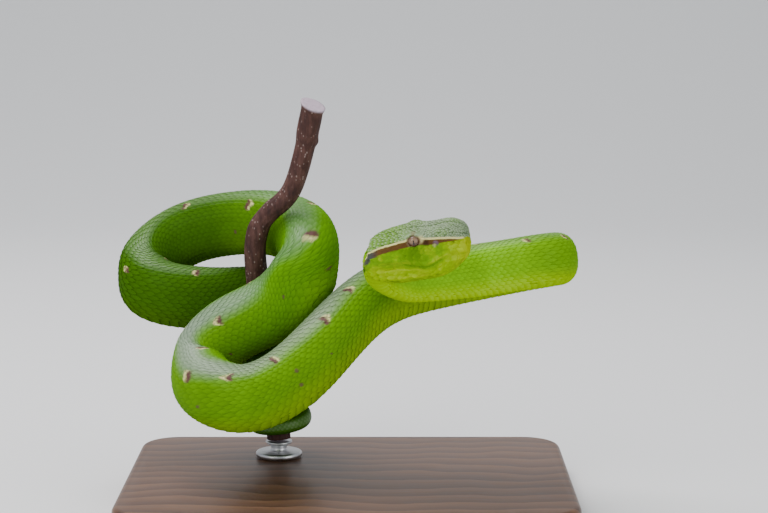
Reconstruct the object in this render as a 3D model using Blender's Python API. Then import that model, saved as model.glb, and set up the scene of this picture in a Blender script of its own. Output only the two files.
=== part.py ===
# Temple pit viper coiled on a cut twig, on a plain display stand.
# Worked in millimetres, meshed in metres. +Z up, -Y the front, origin under the middle of the base.
import math

import bpy
import bmesh
import numpy as np

MM = 0.001
GAP = 0.3            # clear space left between neighbouring pieces
ROW_SHIFT = -8.0     # whole animal moved over the middle of the base
RING_STEP = 4.0
BODY_SIDES = 16
ROUNDNESS = 0.85     # below one squares the section: flat flanks, flat belly
BELLY_DROP = 0.95

# Centre line behind the head: x, y, z and lean of the back in degrees.
ROUTE = (
    (11.1, -16.8, 67.2, 0), (8.0, -14.9, 65.4, 0), (8.5, -11.0, 62.4, 0), (12.2, -7.8, 60.2, 0),
    (18.0, -4.8, 59.5, 0), (43.5, -3.9, 63.1, -3), (48.7, -1.6, 63.5, -5), (51.3, 3.8, 63.0, -5),
    (49.5, 9.2, 61.8, -5), (23.0, 11.4, 56.9, -8), (6.8, 5.4, 52.8, -16), (-4.4, -4.0, 43.9, -18),
    (-14.6, -9.6, 34.9, -18), (-24.5, -12.0, 31.1, -16), (-31.3, -10.0, 31.8, -8), (-35.9, -3.5, 33.9, 0),
    (-36.2, 1.8, 37.1, 8), (-33.4, 4.0, 41.2, 14), (-27.6, 4.9, 45.8, 16), (-16.4, 6.1, 51.9, 14),
    (-10.0, 7.2, 61.0, 5), (-10.6, 16.0, 66.0, 0), (-14.2, 23.6, 67.8, 0), (-21.5, 29.2, 68.9, 0),
    (-41.0, 36.2, 65.6, 0), (-50.1, 35.2, 60.0, 0), (-53.1, 30.7, 55.4, 0), (-50.8, 25.7, 52.3, 0),
    (-43.7, 24.2, 50.4, 0), (-32.2, 27.4, 49.6, -8), (-22.9, 31.6, 49.1, -25),
)
# Twig: x, y, z and radius, top to bottom.
TWIG = (
    (-8.7, 9.0, 100.9, 2.9), (-14.5, 11.9, 79.1, 2.9), (-18.8, 12.8, 74.6, 2.9), (-22.8, 14.3, 69.2, 2.9),
    (-23.6, 15.8, 60.7, 2.9), (-22.9, 19.0, 50.4, 3.0), (-21.6, 23.5, 40.5, 3.0), (-19.7, 25.0, 28.4, 3.1),
    (-18.5, 25.0, 13.0, 3.2),
)
# Girth by distance behind the neck start: distance, half width, half height.
GIRTH = (
    (0, 3.4, 4.3), (8, 4.0, 4.7), (18, 4.6, 5.9), (34, 5.4, 6.6), (70, 5.75, 6.9), (108, 6.9, 8.1),
    (135, 7.2, 8.5), (170, 7.3, 8.5), (208, 7.4, 8.7), (232, 7.4, 8.6), (265, 7.3, 8.5), (300, 7.2, 8.3),
    (335, 6.2, 7.0), (365, 5.3, 5.8), (388, 4.6, 4.9), (400, 3.8, 4.1), (436, 2.7, 2.8), (454, 1.8, 1.8),
    (466, 0.7, 0.7),
)
COIL_STEP = math.radians(40)
COIL_DROP = 27.0       # fall of the first turns, in mm a turn
COIL_LENGTH = 463.0
CUTS = (7.2, 36.0, 100.0, 158.0, 205.0, 262.0, 322.0, 392.0)
PIECES = ("neck", "trunk_1", "trunk_2", "trunk_3", "trunk_4", "trunk_5", "trunk_6", "tail")

# Head: its tip, which way it points, and stations back from the tip.
HEAD_TIP = (29.2, -19.5, 70.3)
HEAD_YAW = 8.0
HEAD_PITCH = 8.0
HEAD_ROLL = 15.0
# distance back, half width, top, bottom, squareness, near lobe, far lobe, nape lobe
HEAD = (
    (0.0, 3.2, 3.4, -1.5, 0.60, 0.0, 0.0, 0.0), (0.4, 3.9, 4.4, -2.4, 0.60, 0.0, 0.0, 0.0),
    (1.6, 4.4, 5.4, -3.5, 0.58, 0.0, 0.0, 0.0), (4.5, 5.0, 6.2, -5.6, 0.56, 0.0, 0.0, 0.0),
    (8.0, 5.5, 6.0, -6.7, 0.57, 0.0, 0.0, 0.0), (11.0, 5.9, 5.9, -6.9, 0.60, 0.3, 0.1, 0.1),
    (13.5, 6.6, 5.9, -6.9, 0.64, 1.4, 0.3, 0.5), (15.3, 7.3, 5.5, -6.8, 0.68, 3.0, 0.5, 1.6),
    (16.4, 7.7, 5.0, -6.5, 0.72, 5.0, 0.7, 3.4), (17.0, 7.4, 4.4, -6.0, 0.76, 6.7, 0.8, 5.4),
    (17.4, 6.2, 3.3, -5.0, 0.80, 7.7, 0.8, 6.1),
)
COLLAR = (2.8, 4.8, 6.7)     # neck stations that close the head
EYE_BACK = 12.5
EYE_SIDE = 4.6
EYE_UP = 4.0
EYE_RADIUS = 1.42
SOCKET_ROOM = 0.28

BASE_SIZE = (112.0, 84.0, 8.0)
BASE_BEVEL = 1.6
# Rod outline: radius and height above the base top.
ROD = ((6.0, 0.0), (6.0, 1.2), (5.2, 1.6), (2.1, 1.6), (2.1, 3.2), (3.4, 3.6), (3.4, 4.45 - GAP))
ROD_SIDES = 24

LOOKS = {
    "head": ((0.30, 0.52, 0.06), 0.45),
    "skin": ((0.14, 0.45, 0.03), 0.45),
    "eye": ((0.10, 0.05, 0.01), 0.08),
    "twig": ((0.11, 0.045, 0.035), 0.85),
    "base": ((0.12, 0.055, 0.025), 0.5),
    "rod": ((0.55, 0.55, 0.56), 0.3),
}


def material(name, look):
    colour, rough = LOOKS[look]
    mat = bpy.data.materials.new(name + "_material")
    mat.use_nodes = True
    shader = mat.node_tree.nodes["Principled BSDF"]
    shader.inputs["Base Color"].default_value = (*colour, 1.0)
    shader.inputs["Roughness"].default_value = rough
    shader.inputs["Metallic"].default_value = 1.0 if look == "rod" else 0.0
    return mat


def add(name, look, verts, faces):
    mesh = bpy.data.meshes.new(name)
    mesh.from_pydata([tuple(float(c) * MM for c in v) for v in verts], [], faces)
    work = bmesh.new()
    work.from_mesh(mesh)
    bmesh.ops.recalc_face_normals(work, faces=work.faces)
    if work.calc_volume(signed=True) < 0:
        bmesh.ops.reverse_faces(work, faces=work.faces)
    work.to_mesh(mesh)
    work.free()
    mesh.materials.append(material(name, look))
    obj = bpy.data.objects.new(name, mesh)
    bpy.context.scene.collection.objects.link(obj)
    return obj


def loft(name, look, rings, first=None, last=None):
    """Closed body through equal rings, with flat or drawn-in ends."""
    count = len(rings[0])
    verts = [p for ring in rings for p in ring]
    verts.append(np.mean(rings[0], axis=0) if first is None else first)
    verts.append(np.mean(rings[-1], axis=0) if last is None else last)
    head, tail = len(verts) - 2, len(verts) - 1
    faces = []
    for i in range(len(rings) - 1):
        for j in range(count):
            a, b = i * count + j, i * count + (j + 1) % count
            faces.append((a, b, b + count, a + count))
    base = (len(rings) - 1) * count
    for j in range(count):
        k = (j + 1) % count
        faces.append((head, k, j))
        faces.append((tail, base + j, base + k))
    return add(name, look, verts, faces)


def spline(points, count):
    """Natural cubic through the rows of a table, spaced by the root of chord length."""
    pts = np.asarray(points, float)
    t = np.r_[0, np.cumsum(np.sqrt(np.linalg.norm(np.diff(pts[:, :3], axis=0), axis=1)))]
    h = np.diff(t)
    system = np.zeros((len(t), len(t)))
    right = np.zeros_like(pts)
    system[0, 0] = system[-1, -1] = 1
    for i in range(1, len(t) - 1):
        system[i, i - 1:i + 2] = h[i - 1], 2 * (h[i - 1] + h[i]), h[i]
        right[i] = 6 * ((pts[i + 1] - pts[i]) / h[i] - (pts[i] - pts[i - 1]) / h[i - 1])
    bend = np.linalg.solve(system, right)
    u = np.linspace(t[0], t[-1], count)
    k = np.clip(np.searchsorted(t, u, side="right") - 1, 0, len(t) - 2)
    a, b, w = (t[k + 1] - u)[:, None], (u - t[k])[:, None], h[k][:, None]
    curve = (bend[k] * a ** 3 + bend[k + 1] * b ** 3) / (6 * w)
    return curve + (pts[k] / w - bend[k] * w / 6) * a + (pts[k + 1] / w - bend[k + 1] * w / 6) * b


def length_along(curve):
    return np.r_[0, np.cumsum(np.linalg.norm(np.diff(curve[:, :3], axis=0), axis=1))]


def girth(s):
    table = np.array(GIRTH)
    return np.interp(s, table[:, 0], table[:, 1]), np.interp(s, table[:, 0], table[:, 2])


def twig_axis(z):
    table = np.array(TWIG)[::-1]
    return tuple(np.interp(z, table[:, 2], table[:, k]) for k in (0, 1, 3))


def coil(route):
    """Turns of the hind body and tail round the twig, belly to the bark."""
    s = length_along(spline(route, 800))[-1]
    x, y, z = route[-1][:3]
    cx, cy, radius = twig_axis(z)
    angle = math.atan2(y - cy, x - cx)
    turns = []
    while s < COIL_LENGTH - 6:
        half_width, half_height = girth(s)
        angle -= COIL_STEP
        fall = 2 * half_width + 0.95 if len(turns) > 4 else COIL_DROP
        fall *= COIL_STEP / (2 * math.pi)
        s += math.hypot((radius + half_height) * COIL_STEP, fall)
        z -= fall
        cx, cy, radius = twig_axis(z)
        ease = (0.6, 0.5, 0.3)[len(turns)] if len(turns) < 3 else 0
        reach = radius + girth(s)[1] + 0.55 + ease
        turns.append((cx + reach * math.cos(angle), cy + reach * math.sin(angle), z,
                      -min(80, 35 + 12 * len(turns))))
    return turns


def body_frames():
    """Even stations along the body: distance, centre, side and back directions."""
    curve = spline(list(ROUTE) + coil(ROUTE), 4000)
    s = length_along(curve)
    even = np.linspace(0, s[-1], int(s[-1] / 0.25) + 1)
    rows = np.stack([np.interp(even, s, curve[:, k]) for k in range(4)], axis=1)
    centre = rows[:, :3] + (0, ROW_SHIFT, 0)
    along = np.gradient(centre, axis=0)
    along /= np.linalg.norm(along, axis=1)[:, None]
    up = np.array((0, 0, 1.0)) - along[:, 2:3] * along
    up /= np.linalg.norm(up, axis=1)[:, None]
    side = np.cross(along, up)
    lean = np.radians(rows[:, 3:4])
    back = up * np.cos(lean) + side * np.sin(lean)
    side = side * np.cos(lean) - up * np.sin(lean)
    return even, centre, side, back


def section(half_width, half_height, centre, side, back, offset=0.0):
    ring = []
    for j in range(BODY_SIDES):
        angle = 2 * math.pi * (j + offset) / BODY_SIDES
        x = math.copysign(abs(math.sin(angle)) ** ROUNDNESS, math.sin(angle))
        z = math.copysign(abs(math.cos(angle)) ** ROUNDNESS, math.cos(angle))
        z *= BELLY_DROP if z < 0 else 1
        ring.append(centre + side * half_width * x + back * half_height * z)
    return ring


def body():
    s, centre, side, back = body_frames()
    ends = list(CUTS) + [s[-1] + GAP / 2]
    for name, start, stop in zip(PIECES, ends, ends[1:]):
        start += GAP / 2
        stop -= GAP / 2
        steps = max(3, round((stop - start) / (RING_STEP if name != "tail" else 2.6)))
        rings = []
        for at in np.linspace(start, stop, steps + 1):
            k = min(int(round(at / s[-1] * (len(s) - 1))), len(s) - 1)
            rings.append(section(*girth(at), centre[k], side[k], back[k]))
        loft(name, "skin", rings)


def head_axes():
    yaw, pitch, roll = (math.radians(a) for a in (HEAD_YAW, HEAD_PITCH, HEAD_ROLL))
    front = np.array((math.cos(yaw) * math.cos(pitch), -math.sin(yaw) * math.cos(pitch), math.sin(pitch)))
    near = np.array((-math.sin(yaw), -math.cos(yaw), 0.0))
    up = np.cross(front, near)
    up *= 1 if up[2] > 0 else -1
    return front, near * math.cos(roll) - up * math.sin(roll), up * math.cos(roll) + near * math.sin(roll)


def head_point(back, near, up):
    front, side, top = head_axes()
    tip = np.array(HEAD_TIP) + (0, ROW_SHIFT, 0)
    return tip - front * back + side * near + top * up


def head_rings():
    rings = []
    for back, half, top, bottom, square, near_lobe, far_lobe, nape in HEAD:
        mid, tall = (top + bottom) / 2, (top - bottom) / 2
        ring = []
        for j in range(BODY_SIDES):
            angle = 2 * math.pi * (j + 0.5) / BODY_SIDES
            x = math.copysign(abs(math.sin(angle)) ** square, math.sin(angle))
            z = math.copysign(abs(math.cos(angle)) ** square, math.cos(angle))
            lobe = (near_lobe if x < 0 else far_lobe) * x * x + nape * max(z, 0) * (1 - x * x)
            ring.append(head_point(back + lobe, -half * x, mid + tall * z))
        rings.append(ring)
    s, centre, side, back = body_frames()
    for at in COLLAR:
        k = int(round(at / s[-1] * (len(s) - 1)))
        rings.append(section(*girth(at), centre[k], side[k], back[k], 0.5))
    return rings


def ball(name, look, centre, radius, around=14, down=9):
    rings = []
    for i in range(1, down):
        lat = math.pi * i / down
        rings.append([centre + radius * np.array((math.sin(lat) * math.cos(2 * math.pi * j / around),
                                                  math.sin(lat) * math.sin(2 * math.pi * j / around),
                                                  math.cos(lat))) for j in range(around)])
    top = centre + np.array((0, 0, radius))
    return loft(name, look, rings, top, centre - np.array((0, 0, radius)))


def head():
    rings = head_rings()
    skull = loft("head", "head", rings, head_point(-0.1, 0, 0.8))
    for name, sign in (("eye_near", 1), ("eye_far", -1)):
        centre = head_point(EYE_BACK, sign * EYE_SIDE, EYE_UP)
        socket = ball("socket", "eye", centre, EYE_RADIUS + SOCKET_ROOM)
        cut = skull.modifiers.new(name, "BOOLEAN")
        cut.object = socket
        cut.operation = "DIFFERENCE"
        cut.solver = "EXACT"
        bpy.context.view_layer.update()
        done = bpy.data.meshes.new_from_object(skull.evaluated_get(bpy.context.evaluated_depsgraph_get()))
        skull.modifiers.clear()
        skull.data = done
        bpy.data.objects.remove(socket, do_unlink=True)
        ball(name, "eye", centre, EYE_RADIUS)
    skull.data.name = "head"
    while len(skull.data.materials) > 1:
        skull.data.materials.pop(index=len(skull.data.materials) - 1)


def twig():
    curve = spline(TWIG, 40)
    centre = curve[:, :3] + (0, ROW_SHIFT, 0)
    along = np.gradient(centre, axis=0)
    along /= np.linalg.norm(along, axis=1)[:, None]
    rings = []
    for k in range(0, len(curve)):
        side = np.cross(along[k], (0, 1.0, 0))
        side /= np.linalg.norm(side)
        out = np.cross(side, along[k])
        turn = [2 * math.pi * j / 12 for j in range(12)]
        rings.append([centre[k] + curve[k, 3] * (side * math.cos(a) + out * math.sin(a)) for a in turn])
    loft("perch_twig", "twig", rings)


def stand():
    wide, deep, tall = BASE_SIZE
    rings = []
    for inset, height in ((BASE_BEVEL, 0), (0, BASE_BEVEL), (0, tall - BASE_BEVEL), (BASE_BEVEL, tall)):
        ring = []
        for corner in range(4):
            sx, sy = (1, 1, -1, -1)[corner], (1, -1, -1, 1)[corner]
            for step in range(6):
                angle = math.pi / 2 * (1 - corner) - math.pi / 2 * step / 5
                radius = 10.0 - inset
                ring.append(np.array((sx * (wide / 2 - 10) + radius * math.cos(angle),
                                      sy * (deep / 2 - 10) + radius * math.sin(angle), height)))
        rings.append(ring)
    loft("stand_base", "base", rings)
    foot = TWIG[-1]
    rings = []
    for radius, height in ROD:
        turn = [2 * math.pi * j / ROD_SIDES for j in range(ROD_SIDES)]
        rings.append([np.array((foot[0] + radius * math.cos(a), foot[1] + ROW_SHIFT + radius * math.sin(a),
                                tall + GAP + height)) for a in turn])
    loft("stand_rod", "rod", rings)


for old in list(bpy.data.objects):
    bpy.data.objects.remove(old, do_unlink=True)
body()
head()
twig()
stand()
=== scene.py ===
import math

import bpy
import bmesh
import numpy as np
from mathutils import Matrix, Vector
from mathutils.bvhtree import BVHTree


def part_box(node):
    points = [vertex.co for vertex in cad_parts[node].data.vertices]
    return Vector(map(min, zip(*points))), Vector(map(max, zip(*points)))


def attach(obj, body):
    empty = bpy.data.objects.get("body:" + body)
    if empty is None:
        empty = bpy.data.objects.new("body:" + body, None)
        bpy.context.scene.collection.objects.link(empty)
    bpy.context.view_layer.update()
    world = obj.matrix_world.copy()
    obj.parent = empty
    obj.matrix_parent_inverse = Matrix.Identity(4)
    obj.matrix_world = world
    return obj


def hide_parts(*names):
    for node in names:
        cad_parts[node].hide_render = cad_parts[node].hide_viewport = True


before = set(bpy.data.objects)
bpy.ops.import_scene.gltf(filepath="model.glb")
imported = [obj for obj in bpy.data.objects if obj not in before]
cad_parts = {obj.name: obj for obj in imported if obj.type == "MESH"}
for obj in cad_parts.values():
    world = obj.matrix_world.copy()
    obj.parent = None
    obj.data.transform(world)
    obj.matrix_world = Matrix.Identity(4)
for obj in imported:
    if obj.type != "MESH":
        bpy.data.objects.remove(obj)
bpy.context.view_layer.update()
mm = 0.001


# Nodes: a wire is one socket that can take part in sums, a graph adds the nodes.
class Wire:
    def __init__(self, graph, socket):
        self.graph = graph
        self.socket = socket

    def maths(self, operation, *others, flip=False):
        values = (self, *others)
        if flip:
            values = values[::-1]
        return self.graph.node("ShaderNodeMath", {"operation": operation}, dict(enumerate(values)))

    def __add__(self, other):
        return self.maths("ADD", other)

    def __radd__(self, other):
        return self.maths("ADD", other, flip=True)

    def __sub__(self, other):
        return self.maths("SUBTRACT", other)

    def __rsub__(self, other):
        return self.maths("SUBTRACT", other, flip=True)

    def __mul__(self, other):
        return self.maths("MULTIPLY", other)

    def __rmul__(self, other):
        return self.maths("MULTIPLY", other, flip=True)

    def __truediv__(self, other):
        return self.maths("DIVIDE", other)

    def __pow__(self, other):
        return self.maths("POWER", other)

    def __abs__(self):
        return self.maths("ABSOLUTE")

    def smooth(self, low, high):
        return self.graph.node("ShaderNodeMapRange", {"interpolation_type": "SMOOTHSTEP"},
                               {"Value": self, "From Min": low, "From Max": high})

    def out(self, name):
        return Wire(self.graph, self.socket.node.outputs[name])


class Graph:
    def __init__(self, tree):
        self.tree = tree

    def node(self, kind, settings=None, links=None, out=0):
        made = self.tree.nodes.new(kind)
        for key, value in (settings or {}).items():
            if key == "stops":
                ramp = made.color_ramp
                while len(ramp.elements) < len(value):
                    ramp.elements.new(1.0)
                for element, (place, colour) in zip(ramp.elements, value):
                    element.position = place
                    element.color = (*colour, 1.0)
            else:
                setattr(made, key, value)
        for key, value in (links or {}).items():
            socket = made.inputs[key]
            if isinstance(value, Wire):
                self.tree.links.new(value.socket, socket)
            else:
                socket.default_value = value
        return Wire(self, made.outputs[out])

    def mix(self, amount, first, second):
        first, second = ((*c, 1.0) if isinstance(c, tuple) else c for c in (first, second))
        return self.node("ShaderNodeMix", {"data_type": "RGBA"}, {0: amount, 6: first, 7: second}, 2)

    def vector(self, operation, first, second, out="Vector"):
        return self.node("ShaderNodeVectorMath", {"operation": operation}, {0: first, 1: second}, out)

    def ramp(self, amount, stops):
        return self.node("ShaderNodeValToRGB", {"stops": stops}, {"Fac": amount})

    def field(self, name):
        return self.node("ShaderNodeAttribute", {"attribute_name": name}, out="Fac")

    def noise(self, where, size, detail=3.0, rough=0.55):
        return self.node("ShaderNodeTexNoise", {}, {"Vector": where, "Scale": size, "Detail": detail,
                                                    "Roughness": rough})

    def place(self):
        return self.node("ShaderNodeTexCoord", out="Object")

    def stretch(self, where, scale):
        return self.node("ShaderNodeMapping", {}, {"Vector": where, "Scale": scale})

    def shade(self, colour, value):
        return self.node("ShaderNodeHueSaturation", {}, {"Value": value, "Color": colour})

    def bump(self, height, strength, distance):
        return self.node("ShaderNodeBump", {}, {"Strength": strength, "Distance": distance,
                                                "Height": height}, "Normal")

    def named(self, name, kind="FLOAT_VECTOR"):
        return self.node("GeometryNodeInputNamedAttribute", {"data_type": kind}, {"Name": name})

    def store(self, geometry, name, value, domain="POINT"):
        return self.node("GeometryNodeStoreNamedAttribute", {"data_type": "FLOAT", "domain": domain},
                         {"Geometry": geometry, "Name": name, "Value": value})

    def random(self, low, high, seed):
        return self.node("FunctionNodeRandomValue", {"data_type": "FLOAT"}, {2: low, 3: high, 8: seed}, 1)

    def shapeOf(self, source):
        return self.node("GeometryNodeObjectInfo", {}, {"Object": source}, "Geometry")


def newMaterial(name, finish):
    material = bpy.data.materials.new(name)
    material.use_nodes = True
    shader = material.node_tree.nodes["Principled BSDF"]
    for key, value in finish.items():
        shader.inputs[key].default_value = value
    return material, Graph(material.node_tree), shader


def feed(graph, shader, links):
    for key, wire in links.items():
        graph.tree.links.new(wire.socket, shader.inputs[key])


# Sums, curves and meshes. Shapes are worked out in mm.
def clamped(value):
    return np.clip(value, 0, 1)


def softStep(value):
    value = clamped(value)
    return value * value * (3 - 2 * value)


def inMm(corners):
    return [np.array(corner) / mm for corner in corners]


def smoothed(values, width):
    window = np.hanning(width)
    return np.convolve(np.pad(values, width // 2, mode="edge"), window / window.sum(), mode="valid")


def splineThrough(values, knots, at):
    values = np.asarray(values, float)
    gaps = np.diff(knots)
    system = np.zeros((len(knots), len(knots)))
    right = np.zeros_like(values)
    system[0, 0] = system[-1, -1] = 1
    for i in range(1, len(knots) - 1):
        system[i, i - 1:i + 2] = gaps[i - 1], 2 * (gaps[i - 1] + gaps[i]), gaps[i]
        right[i] = 6 * ((values[i + 1] - values[i]) / gaps[i]
                        - (values[i] - values[i - 1]) / gaps[i - 1])
    bend = np.linalg.solve(system, right)
    k = np.clip(np.searchsorted(knots, at, side="right") - 1, 0, len(knots) - 2)
    a, b, w = (knots[k + 1] - at)[:, None], (at - knots[k])[:, None], gaps[k][:, None]
    curve = (bend[k] * a ** 3 + bend[k + 1] * b ** 3) / (6 * w)
    curve = curve + (values[k] / w - bend[k] * w / 6) * a
    return curve + (values[k + 1] / w - bend[k + 1] * w / 6) * b


def rowsThrough(points, count):
    points = np.asarray(points, float)
    steps = np.sqrt(np.linalg.norm(np.diff(points[:, :3], axis=0), axis=1))
    knots = np.r_[0, np.cumsum(steps)]
    return splineThrough(points, knots, np.linspace(0, knots[-1], count))


def lengthAlong(curve):
    return np.r_[0, np.cumsum(np.linalg.norm(np.diff(curve[:, :3], axis=0), axis=1))]


def unit(vectors):
    return vectors / np.maximum(np.linalg.norm(vectors, axis=-1, keepdims=True), 1e-9)


def signedPower(value, power):
    return np.sign(value) * np.abs(value) ** power


def tubeFaces(rows, around, first=0):
    # Quads between closed rings of points, numbered from the first point.
    faces = []
    for i in range(rows - 1):
        a, b = first + i * around, first + (i + 1) * around
        faces.extend((a + j, a + (j + 1) % around, b + (j + 1) % around, b + j) for j in range(around))
    return faces


def cappedTube(rows, around):
    ends = [tuple(range(around)), tuple(range((rows - 1) * around, rows * around))]
    return tubeFaces(rows, around) + ends


def makeObject(name, points, faces, material=None, edges=(), smooth=True):
    mesh = bpy.data.meshes.new(name)
    mesh.from_pydata((np.asarray(points, float) * mm).tolist(), list(edges), faces)
    mesh.validate()
    if smooth:
        mesh.shade_smooth()
    if material:
        mesh.materials.append(material)
    made = bpy.data.objects.new(name, mesh)
    bpy.context.scene.collection.objects.link(made)
    return made


def outwards(piece):
    work = bmesh.new()
    work.from_mesh(piece.data)
    bmesh.ops.recalc_face_normals(work, faces=work.faces)
    if work.calc_volume(signed=True) < 0:
        bmesh.ops.reverse_faces(work, faces=work.faces)
    work.to_mesh(piece.data)
    work.free()


def setField(mesh, name, values, kind="FLOAT"):
    layer = mesh.attributes.new(name, kind, "POINT")
    layer.data.foreach_set("vector" if kind == "FLOAT_VECTOR" else "value",
                           np.ascontiguousarray(values, dtype=np.float32).ravel())


def setRoots(mesh, places):
    for name, values in zip(("rootU", "rootV"), places):
        setField(mesh, name, values)


def getField(mesh, name):
    layer = mesh.attributes[name]
    values = np.empty(len(layer.data), dtype=np.float32)
    layer.data.foreach_get("value", values)
    return values


def finishTree(piece, parts, inputs):
    # Runs a tree on a piece, keeps the result as a plain mesh and drops the modifier.
    tree, sockets = parts
    modifier = piece.modifiers.new("made", "NODES")
    modifier.node_group = tree
    for name, value in inputs.items():
        modifier[sockets[name]] = value
    bpy.context.view_layer.update()
    evaluated = piece.evaluated_get(bpy.context.evaluated_depsgraph_get())
    made = bpy.data.meshes.new_from_object(evaluated)
    piece.modifiers.clear()
    piece.data = made
    made.name = piece.name
    return piece


# The body: centre line behind the head in mm (x, y, z, lean of the back in degrees) and its girth
# (distance, half width, half height).
bodyShape = {
    "route": (
        (11.1, -16.8, 67.2, 0), (8.0, -14.9, 65.4, 0), (8.5, -11.0, 62.4, 0), (12.2, -7.8, 60.2, 0),
        (18.0, -4.8, 59.5, 0), (43.5, -3.9, 63.1, -3), (48.7, -1.6, 63.5, -5), (51.3, 3.8, 63.0, -5),
        (49.5, 9.2, 61.8, -5), (23.0, 11.4, 56.9, -8), (6.8, 5.4, 52.8, -16), (-4.4, -4.0, 43.9, -18),
        (-14.6, -9.6, 34.9, -18), (-24.5, -12.0, 31.1, -16), (-31.3, -10.0, 31.8, -8),
        (-35.9, -3.5, 33.9, 0), (-36.2, 1.8, 37.1, 8), (-33.4, 4.0, 41.2, 14), (-27.6, 4.9, 45.8, 16),
        (-16.4, 6.1, 51.9, 14), (-10.0, 7.2, 61.0, 5), (-10.6, 16.0, 66.0, 0), (-14.2, 23.6, 67.8, 0),
        (-21.5, 29.2, 68.9, 0), (-41.0, 36.2, 65.6, 0), (-50.1, 35.2, 60.0, 0), (-53.1, 30.7, 55.4, 0),
        (-50.8, 25.7, 52.3, 0), (-43.7, 24.2, 50.4, 0), (-32.2, 27.4, 49.6, -8), (-22.9, 31.6, 49.1, -25),
    ),
    "girth": (
        (0, 3.4, 4.3), (8, 4.0, 4.7), (18, 4.6, 5.9), (34, 5.4, 6.6), (70, 5.75, 6.9), (108, 6.9, 8.1),
        (135, 7.2, 8.5), (170, 7.3, 8.5), (208, 7.4, 8.7), (232, 7.4, 8.6), (265, 7.3, 8.5),
        (300, 7.2, 8.3), (335, 6.2, 7.0), (365, 5.3, 5.8), (388, 4.6, 4.9), (400, 3.8, 4.1),
        (436, 2.7, 2.8), (454, 1.8, 1.8), (466, 0.7, 0.7),
    ),
    "shiftY": -8.0,
    "squareness": 0.85,
    "bellyDrop": 0.95,
    # The tail's winding down the twig: step in degrees, drop of the first turns, gap between
    # turns, clearance from the bark and its extra at the start, lean (first, step, most).
    "coilStep": 40.0,
    "firstFall": 27.0,
    "firstSteps": 5,
    "coilGap": 0.95,
    "barkGap": 0.55,
    "barkEase": (0.6, 0.5, 0.3),
    "coilLean": (35, 12, 80),
    "length": 463.0,
    "freeTail": 6.0,
    "fineStep": 0.25,
    "around": 64,
    "spacing": 1.0,
    "coatDepth": 0.24,
    # How far the back's markings and scales turn from the section's top: distance, degrees.
    "twist": ((0, 0), (55, 0), (92, 18), (110, 32), (118, 33), (127, 22), (143, 24), (150, 15), (157, 2),
              (165, -32), (172, -30), (179, -12), (186, 12), (194, 10), (203, -8), (213, -28), (224, -20),
              (238, -6), (250, 0), (470, 0)),
}
# The twig's centre line from its cut top to its foot: x, y, z and radius in mm.
twigShape = {
    "points": (
        (-8.7, 9.0, 100.9, 2.9), (-14.5, 11.9, 79.1, 2.9), (-18.8, 12.8, 74.6, 2.9),
        (-22.8, 14.3, 69.2, 2.9), (-23.6, 15.8, 60.7, 2.9), (-22.9, 19.0, 50.4, 3.0),
        (-21.6, 23.5, 40.5, 3.0), (-19.7, 25.0, 28.4, 3.1), (-18.5, 25.0, 13.0, 3.2),
    ),
    "around": 96,
    "rings": 420,
}


def girthAt(s):
    table = np.array(bodyShape["girth"])
    return np.interp(s, table[:, 0], table[:, 1]), np.interp(s, table[:, 0], table[:, 2])


def coilTurns():
    # The hind body and tail wind down the twig, belly to the bark.
    route, step = bodyShape["route"], math.radians(bodyShape["coilStep"])
    twig = np.array(twigShape["points"])[::-1]
    s = lengthAlong(rowsThrough(route, 800))[-1]
    x, y, z = route[-1][:3]
    angle = math.atan2(y - np.interp(z, twig[:, 2], twig[:, 1]), x - np.interp(z, twig[:, 2], twig[:, 0]))
    turns = []
    lean, leanStep, leanMost = bodyShape["coilLean"]
    while s < bodyShape["length"] - bodyShape["freeTail"]:
        halfWidth, halfHeight = girthAt(s)
        angle -= step
        wound = len(turns) >= bodyShape["firstSteps"]
        fall = 2 * halfWidth + bodyShape["coilGap"] if wound else bodyShape["firstFall"]
        fall *= step / (2 * math.pi)
        s += math.hypot((np.interp(z, twig[:, 2], twig[:, 3]) + halfHeight) * step, fall)
        z -= fall
        centreX, centreY, radius = (np.interp(z, twig[:, 2], twig[:, k]) for k in (0, 1, 3))
        ease = bodyShape["barkEase"][len(turns)] if len(turns) < len(bodyShape["barkEase"]) else 0
        reach = radius + girthAt(s)[1] + bodyShape["barkGap"] + ease
        turns.append((centreX + reach * math.cos(angle), centreY + reach * math.sin(angle), z,
                      -min(leanMost, lean + leanStep * len(turns))))
    return turns


def bodyFrames():
    curve = rowsThrough(list(bodyShape["route"]) + coilTurns(), 4000)
    s = lengthAlong(curve)
    even = np.linspace(0, s[-1], int(s[-1] / bodyShape["fineStep"]) + 1)
    rows = np.stack([np.interp(even, s, curve[:, k]) for k in range(4)], axis=1)
    centre = rows[:, :3] + (0, bodyShape["shiftY"], 0)
    along = unit(np.gradient(centre, axis=0))
    up = unit(np.array((0, 0, 1.0)) - along[:, 2:3] * along)
    side = np.cross(along, up)
    lean = np.radians(rows[:, 3:4])
    back = up * np.cos(lean) + side * np.sin(lean)
    side = side * np.cos(lean) - up * np.sin(lean)
    return even, centre, side, back


def backTwist(s):
    # Radians, eased between the table's rows.
    table = np.array(bodyShape["twist"], float)
    fine = np.arange(0, table[-1, 0], 1.0)
    eased = smoothed(np.interp(fine, table[:, 0], table[:, 1]), 13)
    return np.radians(np.interp(s, fine, eased))


spineS, spineCentre, spineSide, spineBack = bodyFrames()
bodyLength = float(spineS[-1])
print("body", round(bodyLength, 1), "mm behind the neck")


def spineAt(s):
    s = np.clip(np.asarray(s, float), 0, bodyLength)
    rows = [np.stack([np.interp(s, spineS, part[:, k]) for k in range(3)], axis=-1)
            for part in (spineCentre, spineSide, spineBack)]
    return rows[0], unit(rows[1]), unit(rows[2])


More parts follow.
